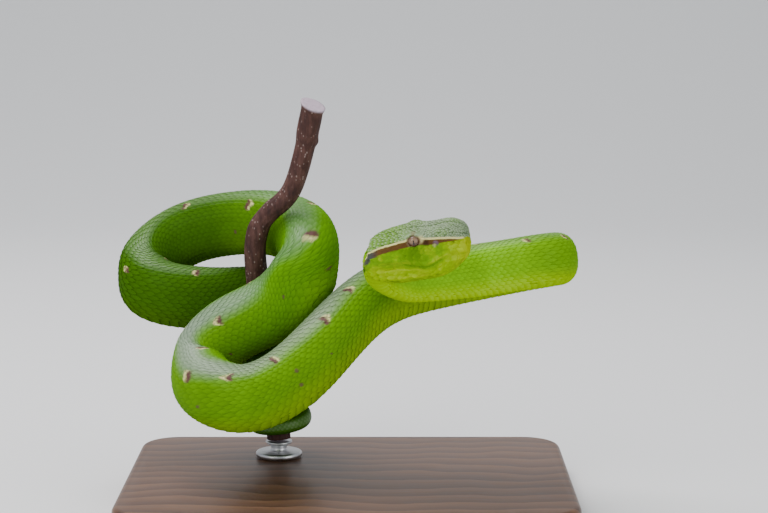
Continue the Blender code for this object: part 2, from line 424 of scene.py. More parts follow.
def sectionAt(angle, halfWidth, halfHeight):
    # A point of the body's section, out to the side and up from its middle.
    x = signedPower(np.sin(angle), bodyShape["squareness"]) * halfWidth
    z = signedPower(np.cos(angle), bodyShape["squareness"]) * halfHeight
    return x, np.where(z < 0, z * bodyShape["bellyDrop"], z)


def bodyPoint(s, angle):
    centre, side, back = spineAt(s)
    x, z = sectionAt(angle, *girthAt(s))
    return centre + (side * x[..., None] + back * z[..., None])


def coatDepth(s):
    return bodyShape["coatDepth"] * np.clip(girthAt(s)[0] / 5.0, 0.25, 1.0)


# The head, in its own space: back from the snout tip, out to its near side, up.
headShape = {
    "tip": (29.2, -19.5, 70.3),
    "turn": (8.0, 8.0, 15.0),          # yaw, pitch and roll in degrees
    # back, half width, top, bottom, squareness, near lobe, far lobe, nape lobe
    "stations": (
        (0.0, 3.2, 3.4, -1.5, 0.60, 0.0, 0.0, 0.0), (0.4, 3.9, 4.4, -2.4, 0.60, 0.0, 0.0, 0.0),
        (1.6, 4.4, 5.4, -3.5, 0.58, 0.0, 0.0, 0.0), (4.5, 5.0, 6.2, -5.6, 0.56, 0.0, 0.0, 0.0),
        (8.0, 5.5, 6.0, -6.7, 0.57, 0.0, 0.0, 0.0), (11.0, 5.9, 5.9, -6.9, 0.60, 0.3, 0.1, 0.1),
        (13.5, 6.6, 5.9, -6.9, 0.64, 1.4, 0.3, 0.5), (15.3, 7.3, 5.5, -6.8, 0.68, 3.0, 0.5, 1.6),
        (16.4, 7.7, 5.0, -6.5, 0.72, 5.0, 0.7, 3.4), (17.0, 7.4, 4.4, -6.0, 0.76, 6.7, 0.8, 5.4),
        (17.4, 6.2, 3.3, -5.0, 0.80, 7.7, 0.8, 6.1),
    ),
    "nose": ((0.02, 0.22), (0.35, 0.20), (0.70, 0.12)),     # share of the first ring, how far back
    "collar": (2.8, 4.8, 6.7, 8.5, 10.5, 13.0),             # rings on the neck, mm behind the head
    "neckRings": ((70, 25), (75, 20)),  # skin and markings: where the neck takes over, over how many
    "end": (25.5, 1.5),                 # where the head's markings stop, and over how far
    "nape": (10.0, 8.0),                # where the crown turns to nape, and over how far
    "around": 192,
    "spacing": 0.23,
    "coatDepth": 0.16,
    # Lines over the side of the head (back, up): the brow, the mouth and the folds of the cheek.
    "browLine": ((0, 2.9), (2, 3.25), (4, 3.7), (6, 3.95), (8, 4.1), (10, 4.3), (12.3, 5.3), (14, 4.5),
                 (15.6, 4.4), (18.5, 4.05), (20, 3.85), (21.7, 3.4), (23.5, 2.5), (25, 1.4)),
    "mouthLine": ((-1, -1.0), (1, -0.8), (3.5, -0.6), (5.5, -0.75), (7.2, -1.5), (9, -2.35), (10.7, -2.65),
                  (12.6, -2.05), (15, -0.95), (16.8, -0.25), (19, 0.1), (22.5, 0.1)),
    "mouthGroove": (0.17, 0.17),        # depth, width
    "lipSwell": (0.07, 0.75, 0.5),      # height, how far above the mouth, width
    "chinGroove": (0.22, 0.35),         # depth, width
    "foldEnds": 1.5,
    "folds": (
        # height, width, line
        (0.16, 0.42, ((13.5, -0.9), (15.5, -0.5), (18, -0.1), (21.7, 0.2))),
        (0.14, 0.45, ((10, -3.6), (13, -2.7), (16, -2.1), (19.5, -1.6), (22.5, -1.4))),
        (-0.12, 0.34, ((12.5, -1.8), (16, -1.2), (19, -0.85), (22, -0.6))),
        (0.12, 0.40, ((3.5, 0.1), (5.1, -0.2), (7.9, -1.2), (10.7, -2.2))),
        (-0.08, 0.40, ((12.5, 0.1), (16, 0.6), (21, 0.9))),
        (0.12, 0.55, ((9, -4.6), (12, -4.6), (16, -4.3), (20, -3.6))),
        (-0.10, 0.40, ((11, -3.9), (15, -3.3), (21, -2.6))),
    ),
    # Swellings and hollows: back, out, up, radius, height. Each is on both sides.
    "forms": (
        (12.2, 4.4, 6.0, 2.3, 0.22), (9.9, 4.7, 5.3, 1.5, 0.10), (7.6, 5.4, 2.7, 0.62, -0.75),
        (3.2, 4.9, 2.6, 0.36, -0.55), (3.3, 4.8, 2.6, 0.9, 0.14), (18.5, 7.2, 1.6, 3.6, 0.28),
        (9.2, 5.6, 0.6, 2.6, -0.14), (3.4, 2.0, 5.4, 1.5, 0.16), (8.6, 0.0, 5.8, 3.0, -0.22),
        (22.0, 7.4, -2.4, 2.6, 0.16), (16.0, 6.6, -5.2, 2.4, 0.12),
    ),
    "gaze": (-0.12, 0.22),              # back and up for one out
    "eyeOpening": 1.28,
    "eyeSocket": (0.22, 0.10, 0.95),    # clearance under the eyeball, height of the rim, slope
}


def headAxes():
    yaw, pitch, roll = (math.radians(a) for a in headShape["turn"])
    front = np.array((math.cos(yaw) * math.cos(pitch), -math.sin(yaw) * math.cos(pitch), math.sin(pitch)))
    near = np.array((-math.sin(yaw), -math.cos(yaw), 0.0))
    up = np.cross(front, near)
    up *= 1 if up[2] > 0 else -1
    return front, near * math.cos(roll) - up * math.sin(roll), up * math.cos(roll) + near * math.sin(roll)


headFront, headNear, headUp = headAxes()
headTurn = np.stack([-headFront, headNear, headUp])
headTip = np.array(headShape["tip"]) + (0, bodyShape["shiftY"], 0)


def fromHead(places):
    places = np.asarray(places, float)
    return headTip - places[..., 0:1] * headFront + places[..., 1:2] * headNear + places[..., 2:3] * headUp


def toHead(points):
    away = np.asarray(points, float) - headTip
    return np.stack([-(away @ headFront), away @ headNear, away @ headUp], axis=-1)


def headRings():
    angle = 2 * math.pi * (np.arange(headShape["around"]) + 0.5) / headShape["around"]
    rings = []
    for back, half, top, bottom, square, nearLobe, farLobe, nape in headShape["stations"]:
        x, z = signedPower(np.sin(angle), square), signedPower(np.cos(angle), square)
        lobe = np.where(x < 0, nearLobe, farLobe) * x * x + nape * np.maximum(z, 0) * (1 - x * x)
        up = (top + bottom) / 2 + (top - bottom) / 2 * z
        rings.append(np.stack([back + lobe, -half * x, up], axis=1))
    snout = rings[0].mean(axis=0)
    nose = [snout + (rings[0] - snout) * part - (drop, 0, 0) for part, drop in headShape["nose"]]
    rings = [fromHead(ring) for ring in nose + rings]
    for at in headShape["collar"]:
        rings.append(bodyPoint(np.full(len(angle), at), angle))
    return angle, np.array(rings)


def headGrid():
    # Even rings from the snout to the collar, on a smooth curve through the stations.
    angle, rings = headRings()
    chords = np.linalg.norm(np.diff(rings, axis=0), axis=2).mean(axis=1)
    knots = np.r_[0, np.cumsum(np.sqrt(chords))]
    flat = rings.reshape(len(rings), -1)
    fine = np.linspace(0, knots[-1], 1500)
    trial = splineThrough(flat, knots, fine).reshape(1500, -1, 3)
    run = np.r_[0, np.cumsum(np.linalg.norm(np.diff(trial, axis=0), axis=2).mean(axis=1))]
    count = int(run[-1] / headShape["spacing"])
    at = np.interp(np.linspace(0, run[-1], count), run, fine)
    grid = splineThrough(flat, knots, at).reshape(count, -1, 3)
    return angle, grid


def gridNormals(grid):
    alongWay = np.gradient(grid, axis=0)
    aroundWay = np.roll(grid, -1, axis=1) - np.roll(grid, 1, axis=1)
    normal = unit(np.cross(alongWay, aroundWay))
    outward = grid - grid.mean(axis=1, keepdims=True)
    if (normal * outward).sum() < 0:
        normal = -normal
    return normal, unit(alongWay)


def eyePlaces():
    places = []
    for node in ("eye_near", "eye_far"):
        low, high = inMm(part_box(node))
        places.append((toHead((low + high) / 2), float((high - low)[2]) / 2))
    return places


eyes = eyePlaces()


def gazeOf(sign):
    back, up = headShape["gaze"]
    return unit(np.array((back, sign, up)))


def aroundEye(places, centre, sign):
    # How far places lie out along an eye's gaze, and how far to its side.
    gaze, away = gazeOf(sign), places - centre
    axial = away @ gaze
    return axial, np.linalg.norm(away - axial[..., None] * gaze, axis=-1)


def lineAt(name, back):
    table = np.array(headShape[name])
    return np.interp(back, table[:, 0], table[:, -1])


def mouthGap(places):
    back, up = places[..., 0], places[..., 2]
    slope = (lineAt("mouthLine", back + 0.3) - lineAt("mouthLine", back - 0.3)) / 0.6
    return (up - lineAt("mouthLine", back)) / np.sqrt(1 + slope ** 2)


def foldAt(back, up, line, width, ends):
    # How much of a fold of the cheek shows at a place, faded over its two ends.
    table = np.array(line)
    shown = clamped((back - table[0, 0]) / ends) * clamped((table[-1, 0] - back) / ends)
    return shown * np.exp(-((up - np.interp(back, table[:, 0], table[:, 1])) / width) ** 2)


def sculptHead(places, normals):
    # Moves head points, in head space, along their normals.
    back, out, up = places[..., 0], places[..., 1], places[..., 2]
    move = np.zeros(back.shape)
    for u, v, w, radius, height in headShape["forms"]:
        reach = ((back - u) ** 2 + (np.abs(out) - v) ** 2 + (up - w) ** 2) / radius ** 2
        move += height * np.exp(-reach)
    gap = mouthGap(places)
    fade = clamped((23.0 - back) / 2.0) * clamped((normals[..., 2] + 0.75) / 0.3)
    depth, width = headShape["mouthGroove"]
    move -= depth * fade * np.interp(back, (5, 10), (0.35, 1)) * np.exp(-(gap / width) ** 2)
    height, above, width = headShape["lipSwell"]
    move += height * fade * np.exp(-((gap - above) / width) ** 2)
    for height, width, line in headShape["folds"]:
        move += height * fade * foldAt(back, up, line, width, headShape["foldEnds"])
    chin = clamped(-normals[..., 2] * 2 - 1) * clamped((14 - back) / 4) * clamped((back - 2) / 2)
    depth, width = headShape["chinGroove"]
    move -= depth * chin * np.exp(-(out / width) ** 2)
    return places + normals * move[..., None]


def seatEyes(places):
    # The skin dips under each eyeball and meets it in a rim.
    places = places.copy()
    opening = headShape["eyeOpening"]
    clearance, rimHeight, slope = headShape["eyeSocket"]
    for (centre, radius), sign in zip(eyes, (1, -1)):
        axial, ring = aroundEye(places, centre, sign)
        near = (axial > -0.6) & (ring < 3.0)
        under = np.sqrt(np.maximum(radius ** 2 - ring ** 2, 0)) - clearance
        rim = math.sqrt(radius ** 2 - opening ** 2) + rimHeight
        skinward = softStep((ring - opening) / slope)
        target = np.where(ring < opening, np.minimum(axial, under),
                          rim * (1 - skinward) + axial * skinward)
        places += np.where(near, target - axial, 0)[..., None] * gazeOf(sign)
    return places


def neckShare(rows, part):
    # 0 on the head, rising to 1 over its last rings.
    lead, over = headShape["neckRings"][part]
    return clamped((np.arange(rows) - (rows - lead)) / over)[:, None]


def skinGrid():
    angle, grid = headGrid()
    normal, _ = gridNormals(grid)
    places = toHead(grid)
    away = clamped((places[..., 0] - 22) / 3)[..., None]
    headNormals = normal @ headTurn.T
    depth = headShape["coatDepth"] + (bodyShape["coatDepth"] - headShape["coatDepth"]) * away
    inner = places - headNormals * depth * np.clip(places[..., 0:1] / 0.5 + 0.8, 0.4, 1)
    onNeck = neckShare(len(grid), 0)[..., None]
    shaped = sculptHead(inner, headNormals) * (1 - onNeck) + inner * onNeck
    return angle, fromHead(seatEyes(shaped))


angle, headMesh = skinGrid()
headNormal, headLie = gridNormals(headMesh)
print("head", headMesh.shape)


def browPaths():
    # The brow line laid on the skin, once for each side.
    places = toHead(headMesh).reshape(-1, 3)
    table = np.array(headShape["browLine"], float)
    back = np.linspace(0, table[-1, 0], 160)
    up = np.interp(back, table[:, 0], table[:, 1])
    paths = []
    for sign in (1, -1):
        mine = places[sign * places[:, 1] > 1.0]
        gap = (mine[None, :, 0] - back[:, None]) ** 2 + (mine[None, :, 2] - up[:, None]) ** 2
        laid = mine[(gap - 0.03 * sign * mine[None, :, 1]).argmin(axis=1)]
        paths.append(np.stack([smoothed(laid[:, k], 9) for k in range(3)], axis=1))
    return paths


brows = browPaths()


def browGap(places):
    # Distance from the brow line over the skin, above it positive.
    flat = places.reshape(-1, 3)
    gap = np.full(len(flat), 99.0)
    for path, sign in zip(brows, (1, -1)):
        mine = np.flatnonzero(sign * flat[:, 1] >= 0)
        for part in range(0, len(mine), 8000):
            pick = mine[part:part + 8000]
            away = flat[pick, None] - path[None]
            reach = (away ** 2).sum(axis=2)
            near = reach.argmin(axis=1)
            offset = away[np.arange(len(pick)), near]
            inward = offset[:, 2] - 0.55 * sign * offset[:, 1]
            gap[pick] = np.sqrt(reach.min(axis=1)) * np.sign(inward)
    return gap.reshape(places.shape[:-1])


def eyeRingGap(places):
    gaps = []
    for (centre, _), sign in zip(eyes, (1, -1)):
        axial, ring = aroundEye(places, centre, sign)
        gaps.append(np.where(axial > -1.0, ring, 9.0))
    return np.minimum(*gaps)


# Markings of the head, with painted light and shade among them, in mm over its side: back from the tip, up,
# radius, softness of the edge.
headMarks = {
    # the pit's lilac, a painted glint
    "pit": (7.35, 3.0, 0.60, 0.45),
    # painted shade inside the nostril
    "nostril": (3.2, 2.6, 0.22, 0.25),
    # painted highlight below the pit
    "fleck": (7.7, 2.45, 0.30, 0.35),
    "eyeBack": (12.4, 5.5, 0.6, 0.6),
    # painted highlight on the skin at the eye's front edge
    "eyeFrontHighlight": (10.7, 4.3, 0.75, 0.5),
    # a dark patch in front of the eye
    "darkBeforeEye": (9.6, 3.45, 0.72, 0.5),
    # painted shade under the eye, over the upper cheek
    "cheek": (12.5, 1.4, 2.4, 3.0),
    "browLight": (-0.30, 0.20),         # how far below the brow line the pale line starts and stops
    # The dark stripe below it: back, breadth.
    "stripe": ((1.2, 0.15), (2.5, 0.35), (4, 0.60), (6, 0.80), (7, 1.15), (11, 1.25), (14, 1.3), (22, 1.5),
               (24.5, 1.2)),
    "ring": (1.66, 0.4),                # round the eye: radius, softness
    "ringUp": (2.9, 5.5),               # its lowest and highest place
    "mouthShade": (0.15, 0.75),               # painted shade along the mouth: width, strength
    "lipShadow": (0.8, 0.4, 0.45),      # painted shadow below the lip: how far below the mouth, width, strength
    # Where the painted highlight of each raised fold sits: lift above the fold's line, share of its width.
    "foldLift": 0.12,
    "foldWidth": 0.62,
}


def paintHead(places):
    # Colour masks of the head at points in head space.
    back, out, up = places[..., 0], np.abs(places[..., 1]), places[..., 2]
    below = -browGap(places)
    onSide = clamped((out - 2.5) / 0.8)

    def band(value, low, high, soft=0.12):
        return clamped((value - low) / soft + 0.5) * clamped((high - value) / soft + 0.5)

    def patch(name, strength=1.0):
        u, w, radius, soft = headMarks[name]
        gap = np.sqrt((back - u) ** 2 + (up - w) ** 2)
        return clamped((radius - gap) / soft + 0.5) * onSide * strength

    crown = clamped(-below / 0.25 + 0.5)
    light, dark = headMarks["browLight"]
    stripe = np.array(headMarks["stripe"])
    cream = band(below, light, dark) * clamped((back - 0.5) / 0.5)
    maroon = band(below, dark, dark + np.interp(back, stripe[:, 0], stripe[:, 1]))
    maroon = maroon * clamped((back - 1.2) / 1.2)
    # The fleck is a painted highlight below the pit, laid in cream.
    fleck = patch("fleck", 0.85)

    radius, soft = headMarks["ring"]
    lowest, highest = headMarks["ringUp"]
    eyeRing = clamped((radius - eyeRingGap(places)) / soft + 0.5) * clamped((highest - up) / 0.5)
    eyeRing = eyeRing * clamped((up - lowest) / 0.5)
    eyeRing = np.maximum(eyeRing, patch("eyeBack", 0.6) * (places[..., 1] > 0))

    # Painted shade along the mouth's groove, and a painted shadow below the lip towards the jaw's corner.
    lip = mouthGap(places)
    width, strength = headMarks["mouthShade"]
    mouthShade = np.exp(-(lip / width) ** 2) * clamped((23 - back) / 3) * onSide
    mouthShade = mouthShade * np.interp(back, (5, 10), (0.3, 1)) * strength
    under, width, strength = headMarks["lipShadow"]
    under = strength * np.exp(-((lip + under) / width) ** 2)
    mouthShade = np.maximum(mouthShade, under * clamped((back - 12) / 3) * onSide)

    # Painted highlights along the tops of the raised folds of the cheek.
    ridges = np.zeros(back.shape)
    for height, width, line in headShape["folds"]:
        if height > 0:
            fold = foldAt(back, up - headMarks["foldLift"], line, width * headMarks["foldWidth"], 2)
            ridges = np.maximum(ridges, fold * onSide)
    # The cream mask holds the pale line and the painted highlights below the pit and at the front of the
    # eye.
    return {"crown": crown, "muzzle": clamped(1 - back / 7.0),
            "cream": np.maximum(np.maximum(cream, fleck), patch("eyeFrontHighlight", 0.7)),
            "maroon": maroon, "dusk": clamped((back - 20.8) / 2.0) * maroon,
            "pit": np.maximum(patch("pit") * (1 - fleck), 0), "eyeRing": eyeRing,
            "dark": np.maximum(patch("darkBeforeEye", 0.8), patch("nostril", 0.7)),
            "jaw": clamped(-lip / 1.2) * clamped((back - 2) / 5),
            # Painted shade: under the eye and along the mouth.
            "deep": np.maximum(patch("cheek", 0.9), mouthShade * (1 - crown)), "ridges": ridges * (1 - mouthShade)}


# Spots of the body: distance behind the neck, angle from the middle of the back, half length and
# half width in mm. The half towards the head is pale and the other half dark, or the other way
# round where the half length is below 0.
spotShape = {
    "spots": (
        (36, -4, 0.8, 1.0), (47.5, 28, 0.7, 1.1), (56, 34, 0.8, 1.3), (67, -24, 0.8, 1.1),
        (80, 26, 0.8, 1.1), (92, -30, 0.8, 1.1), (106, 31, 0.95, 1.3), (117.5, -29, 0.95, 1.3),
        (127, -31, 1.0, 1.5),
        (121, 31, 0.8, 1.2), (135, 31, 0.8, 1.3), (143, -28, 1.05, 1.5), (151, 31, 0.8, 1.3),
        (157, -30, -1.05, 1.4), (165, -32, -1.1, 1.8), (172, 28, 0.85, 1.4), (186, 32, 0.9, 1.5),
        (180, -31, -1.05, 1.6), (196, -31, -0.95, 1.5), (215, 30, 0.95, 1.75), (206, -30, 0.9, 1.4),
        (228, 31, 0.9, 1.4), (231, -31, 0.9, 1.4), (243, -50, 0.9, 1.7), (252, 31, 0.9, 1.4),
        (261, -31, 0.9, 1.4), (271, 31, 0.9, 1.4), (285, -30, 0.9, 1.4), (284, 60, 0.7, 0.9),
        (298, 31, 0.9, 1.4), (303, -31, 0.8, 1.3), (318, 30, 0.8, 1.2), (330, -30, 0.8, 1.2),
        (345, 30, 0.8, 1.1), (360, -30, 0.8, 1.0), (376, 30, 0.7, 0.9), (22, 14, 1.1, 1.0),
    ),
    # Small dark flecks low on the flank: distance, angle, radius.
    "flecks": ((140.5, -75, 0.62), (141.5, -101, 0.5), (143, -140, 0.6), (150.5, -138, 0.6),
               (212.3, 106, 0.5), (132, -90, 0.35), (161, -80, 0.4), (183, 95, 0.5), (204, 84, 0.4),
               (247, -96, 0.5)),
    "bow": 0.55,                        # how far a spot's sides trail, and its waver
    "waver": 0.25,
    "ragged": 0.18,
    "split": (0.28, 0.35),              # where pale turns dark, and over how far
}


def paintBody(s, angle):
    halfWidth, halfHeight = girthAt(s)
    radius = (halfWidth + halfHeight) / 2
    cream, maroon = np.zeros(np.shape(s)), np.zeros(np.shape(s))
    split, soft = spotShape["split"]
    for at, turn, halfLong, halfWide in spotShape["spots"]:
        u = (s - at) / halfLong
        v = (angle - math.radians(turn)) * radius / halfWide
        bent = u - spotShape["bow"] * v * v + spotShape["waver"] * np.sin(v * 3.3 + turn)
        edge = spotShape["ragged"] * np.sin(v * 4.1 + at) * np.cos(u * 2.3 + turn)
        inside = clamped((1.0 - bent * bent - v ** 2 + edge) * 2.5 + 0.5)
        pale = clamped(0.5 - (bent + split) / soft)
        cream = np.maximum(cream, inside * pale)
        maroon = np.maximum(maroon, inside * (1 - pale))
    for at, turn, size in spotShape["flecks"]:
        reach = ((s - at) ** 2 + ((angle - math.radians(turn)) * radius) ** 2) / size ** 2
        maroon = np.maximum(maroon, 0.8 * clamped((1.0 - reach) * 2 + 0.5))
    return cream, maroon


def paintFields(points, s, angle, headShare):
    # All the colour fields at once: s and angle on the body, head masks where headShare is above 0.
    cream, maroon = paintBody(s, angle)
    fields = {"around": angle / math.pi, "along": s / 100.0, "head": headShare, "cream": cream,
              "maroon": maroon}
    if points is not None:
        for name, mask in paintHead(toHead(points)).items():
            fields[name] = np.maximum(fields.get(name, 0.0), mask * headShare)
    return fields


# Scaled hide: one finish for the skin and its coat, so both carry the same markings and the same painted
# light and shade.
hideFinish = {
    # Stops run along the body: place as a share of 500 mm, colour. The brighter greens up to about 0.08 are
    # partly the neck stretch's own yellower green and partly painted light; the darker greens from about
    # 0.47 on are painted shade; the grey stops of the backs from 0.24 to 0.36 are partly the back's own
    # grey bloom and partly a painted sheen.
    "backsWithLightSheenAndShade": ((0.0, (0.20, 0.34, 0.07)), (0.07, (0.18, 0.36, 0.04)), (0.10, (0.12, 0.28, 0.02)),
              (0.24, (0.18, 0.26, 0.14)), (0.29, (0.17, 0.25, 0.12)),
              (0.36, (0.20, 0.27, 0.18)), (0.40, (0.10, 0.24, 0.05)), (0.47, (0.10, 0.23, 0.05)),
              (0.51, (0.07, 0.17, 0.02))),
    "flanksWithLightAndShade": ((0.0, (0.18, 0.40, 0.0)), (0.055, (0.24, 0.57, 0.0)), (0.08, (0.20, 0.48, 0.0)),
               (0.10, (0.13, 0.32, 0.0)), (0.24, (0.10, 0.255, 0.0)), (0.37, (0.095, 0.25, 0.0)),
               (0.41, (0.085, 0.25, 0.0)), (0.47, (0.085, 0.23, 0.0)), (0.51, (0.035, 0.11, 0.0))),
    "belliesWithLightAndShade": ((0.0, (0.24, 0.42, 0.0)), (0.05, (0.38, 0.64, 0.0)), (0.08, (0.36, 0.62, 0.0)),
                (0.11, (0.24, 0.42, 0.0)), (0.23, (0.20, 0.36, 0.0)), (0.37, (0.16, 0.31, 0.0)),
                (0.41, (0.14, 0.33, 0.0)), (0.47, (0.14, 0.31, 0.0)), (0.51, (0.045, 0.12, 0.0))),
    "cheeks": (0.15, 0.33, 0.0),
    "jaw": (0.25, 0.42, 0.0),
    # painted highlight of the cheek's folds, also the colour of its pale mottles
    "ridges": (0.36, 0.48, 0.01),
    "muzzle": (0.38, 0.47, 0.0),
    # painted shade under the eye and along the mouth, also the colour of the cheek's dark mottles
    "deep": (0.085, 0.20, 0.0),
    "crown": (0.18, 0.25, 0.13),
    "nape": (0.13, 0.26, 0.035),
    # paler scale tips, partly their own colour and partly a painted highlight
    "paleTipsAndHighlights": (0.40, 0.49, 0.34),
    # the pale line, also the colour of the painted highlights below the pit and at the eye's front
    "cream": (0.68, 0.62, 0.27),
    "maroon": (0.105, 0.036, 0.018),
    "plum": (0.11, 0.04, 0.045),
    "dusk": (0.055, 0.065, 0.06),
    # painted lilac glint of the pit
    "pit": (0.17, 0.11, 0.145),
    "eyeRing": (0.18, 0.12, 0.065),
    # the dark patch in front of the eye, and painted shade inside the nostril
    "dark": (0.035, 0.018, 0.010),
    "between": (0.02, 0.05, 0.004),     # the skin between the scales
    "seams": (0.65, 0.12, 0.45),        # how much of it shows: crown, side of the head, body
    "flankStart": (0.05, 0.24),         # share of the way round where back turns to flank
    "bellyStart": (0.50, 0.76),
    "sheen": (0.36, 0.08, 0.28, 0.06),  # middle of the back, flanks, crown, side of the head
    "rough": 0.40,
    "clouds": 160.0,                    # noise: broad clouds, blotches of the head, fine grain
    "blotches": 430.0,
    "grain": 1500.0,
}


def hideMaterial(name, coat):
    material, graph, shader = newMaterial(name, {
        "Roughness": 0.5, "Specular IOR Level": 0.0, "Coat Roughness": 0.34})
    around = abs(graph.field("around"))
    head, crown = graph.field("head"), graph.field("crown")
    place, look = graph.place(), hideFinish
    cloud = graph.noise(place, look["clouds"], 3.0)
    blotch = graph.noise(place, look["blotches"], 2.0)
    fine = graph.noise(place, look["grain"], 2.0)
    # The body, from its back round to its belly.
    zone = graph.field("along") * 0.2
    turned = around + (cloud - 0.5) * 0.08
    # Own colour along the body, with painted light on the neck stretch, painted shade from the far loop on
    # and a painted sheen on the back.
    back, flank, low = (graph.ramp(zone, look[part]) for part in ("backsWithLightSheenAndShade", "flanksWithLightAndShade", "belliesWithLightAndShade"))
    sides = graph.mix(turned.smooth(*look["flankStart"]), back, flank)
    sides = graph.mix(turned.smooth(*look["bellyStart"]), sides, low)
    # The head, crown and cheeks.
    top = graph.mix(graph.field("napeShare"), look["crown"], look["nape"])
    top = graph.mix((1.0 - blotch.smooth(0.34, 0.56)) * 0.5, top, look["nape"])
    cheek = graph.mix(graph.field("muzzle"), look["cheeks"], look["muzzle"])
    cheek = graph.mix(graph.field("jaw"), cheek, look["jaw"])
    # Painted shade under the eye and along the mouth, painted highlights along the folds, then pale and
    # dark mottles of the cheek.
    cheek = graph.mix(graph.field("deep"), cheek, look["deep"])
    cheek = graph.mix(graph.field("ridges") * 0.75, cheek, look["ridges"])
    cheek = graph.mix(blotch.smooth(0.48, 0.68) * 0.45, cheek, look["ridges"])
    cheek = graph.mix((1.0 - blotch.smooth(0.32, 0.50)) * 0.35, cheek, look["deep"])
    colour = graph.mix(head, sides, graph.mix(crown, cheek, top))
    if coat:
        # Each scale has its own tone; its root, just behind the tip of the scale ahead, is darkened as
        # painted shade, and on the crown and the back its tip is lightened, partly its own paler edge and
        # partly a painted highlight.
        tone, blade = graph.field("tone"), graph.field("blade")
        shade = 0.86 + tone * 0.10 + (cloud - 0.5) * 0.20 + blade.smooth(0.30, 0.85) * 0.15
        dorsal = 1.0 - around.smooth(0.08, 0.26)
        lift = blade.smooth(0.45, 1.0) * (crown * head * 0.55 + dorsal * (1.0 - head) * 0.12)
        colour = graph.mix(lift, graph.shade(colour, shade), look["paleTipsAndHighlights"])
    else:
        colour = graph.mix(graph.field("between"), colour, look["between"])
    # Markings laid over; among them the cream holds painted highlights, the pit's lilac is a painted glint
    # and the dark holds painted shade inside the nostril.
    for mark in ("maroon", "dusk", "cream", "eyeRing", "pit", "dark"):
        shown = graph.mix(head, look["plum"], look[mark]) if mark == "maroon" else look[mark]
        colour = graph.mix(graph.field(mark) * (0.94 + (fine - 0.5) * 0.1), colour, shown)
    colour = graph.shade(colour, (fine - 0.5) * 0.16 + 1.0)
    rough = look["rough"] + (cloud - 0.5) * 0.12 + (fine - 0.5) * 0.10 + head * 0.06
    onSpine, onFlank, onCrown, onCheek = look["sheen"]
    onBody = (1.0 - around.smooth(0.04, 0.30)) * onSpine + (1.0 - around.smooth(0.50, 0.70)) * onFlank
    onHead = crown * (1.0 - graph.field("napeShare")) * onCrown + (1.0 - graph.field("jaw")) * onCheek
    sheen = onBody * (1.0 - head) + onHead * head
    sheen = sheen * (1.0 - (graph.field("maroon") + graph.field("cream")) * 0.6)
    feed(graph, shader, {"Base Color": colour, "Roughness": rough, "Coat Weight": sheen,
                         "Normal": graph.bump(fine, 0.25, 0.00006)})
    return material


skinMaterial = hideMaterial("viperSkin", False)
coatMaterial = hideMaterial("viperScales", True)


def napeShare(places):
    start, over = headShape["nape"]
    return clamped((places[..., 0] - start) / over)


def headShareAt(places):
    end, over = headShape["end"]
    return clamped((end - places[..., 0]) / over)


# Where a point of the hide lies on a flat unwrap of it, for the coat's own map.
unwrapShape = {"stripLength": 162.0, "stripHeight": 54.0, "margin": (4.0, 28.0), "side": 170.0,
               "headLength": 25.0, "headGirth": 6.2, "headMiddle": 0.6,
               "patch": (0.00135, 0.0027)}      # breadth and length of one scale's own patch


def unwrapPlace(run, arc):
    strip = np.clip(np.floor(run / unwrapShape["stripLength"]), 0, 2)
    left, low = unwrapShape["margin"]
    u = (run - strip * unwrapShape["stripLength"] + left) / unwrapShape["side"]
    v = (strip * unwrapShape["stripHeight"] + low + arc) / unwrapShape["side"]
    return u, v


def bakeMap(piece):
    mesh = piece.data
    corner = np.empty(len(mesh.loops), dtype=np.int32)
    mesh.loops.foreach_get("vertex_index", corner)
    wide, tall = unwrapShape["patch"]
    u = getField(mesh, "rootU") + getField(mesh, "across") * wide
    v = getField(mesh, "rootV") + (getField(mesh, "blade") - 0.5) * tall
    layer = mesh.uv_layers.new(name="OFBake")
    layer.data.foreach_set("uv", np.stack([u[corner], v[corner]], axis=1).ravel())


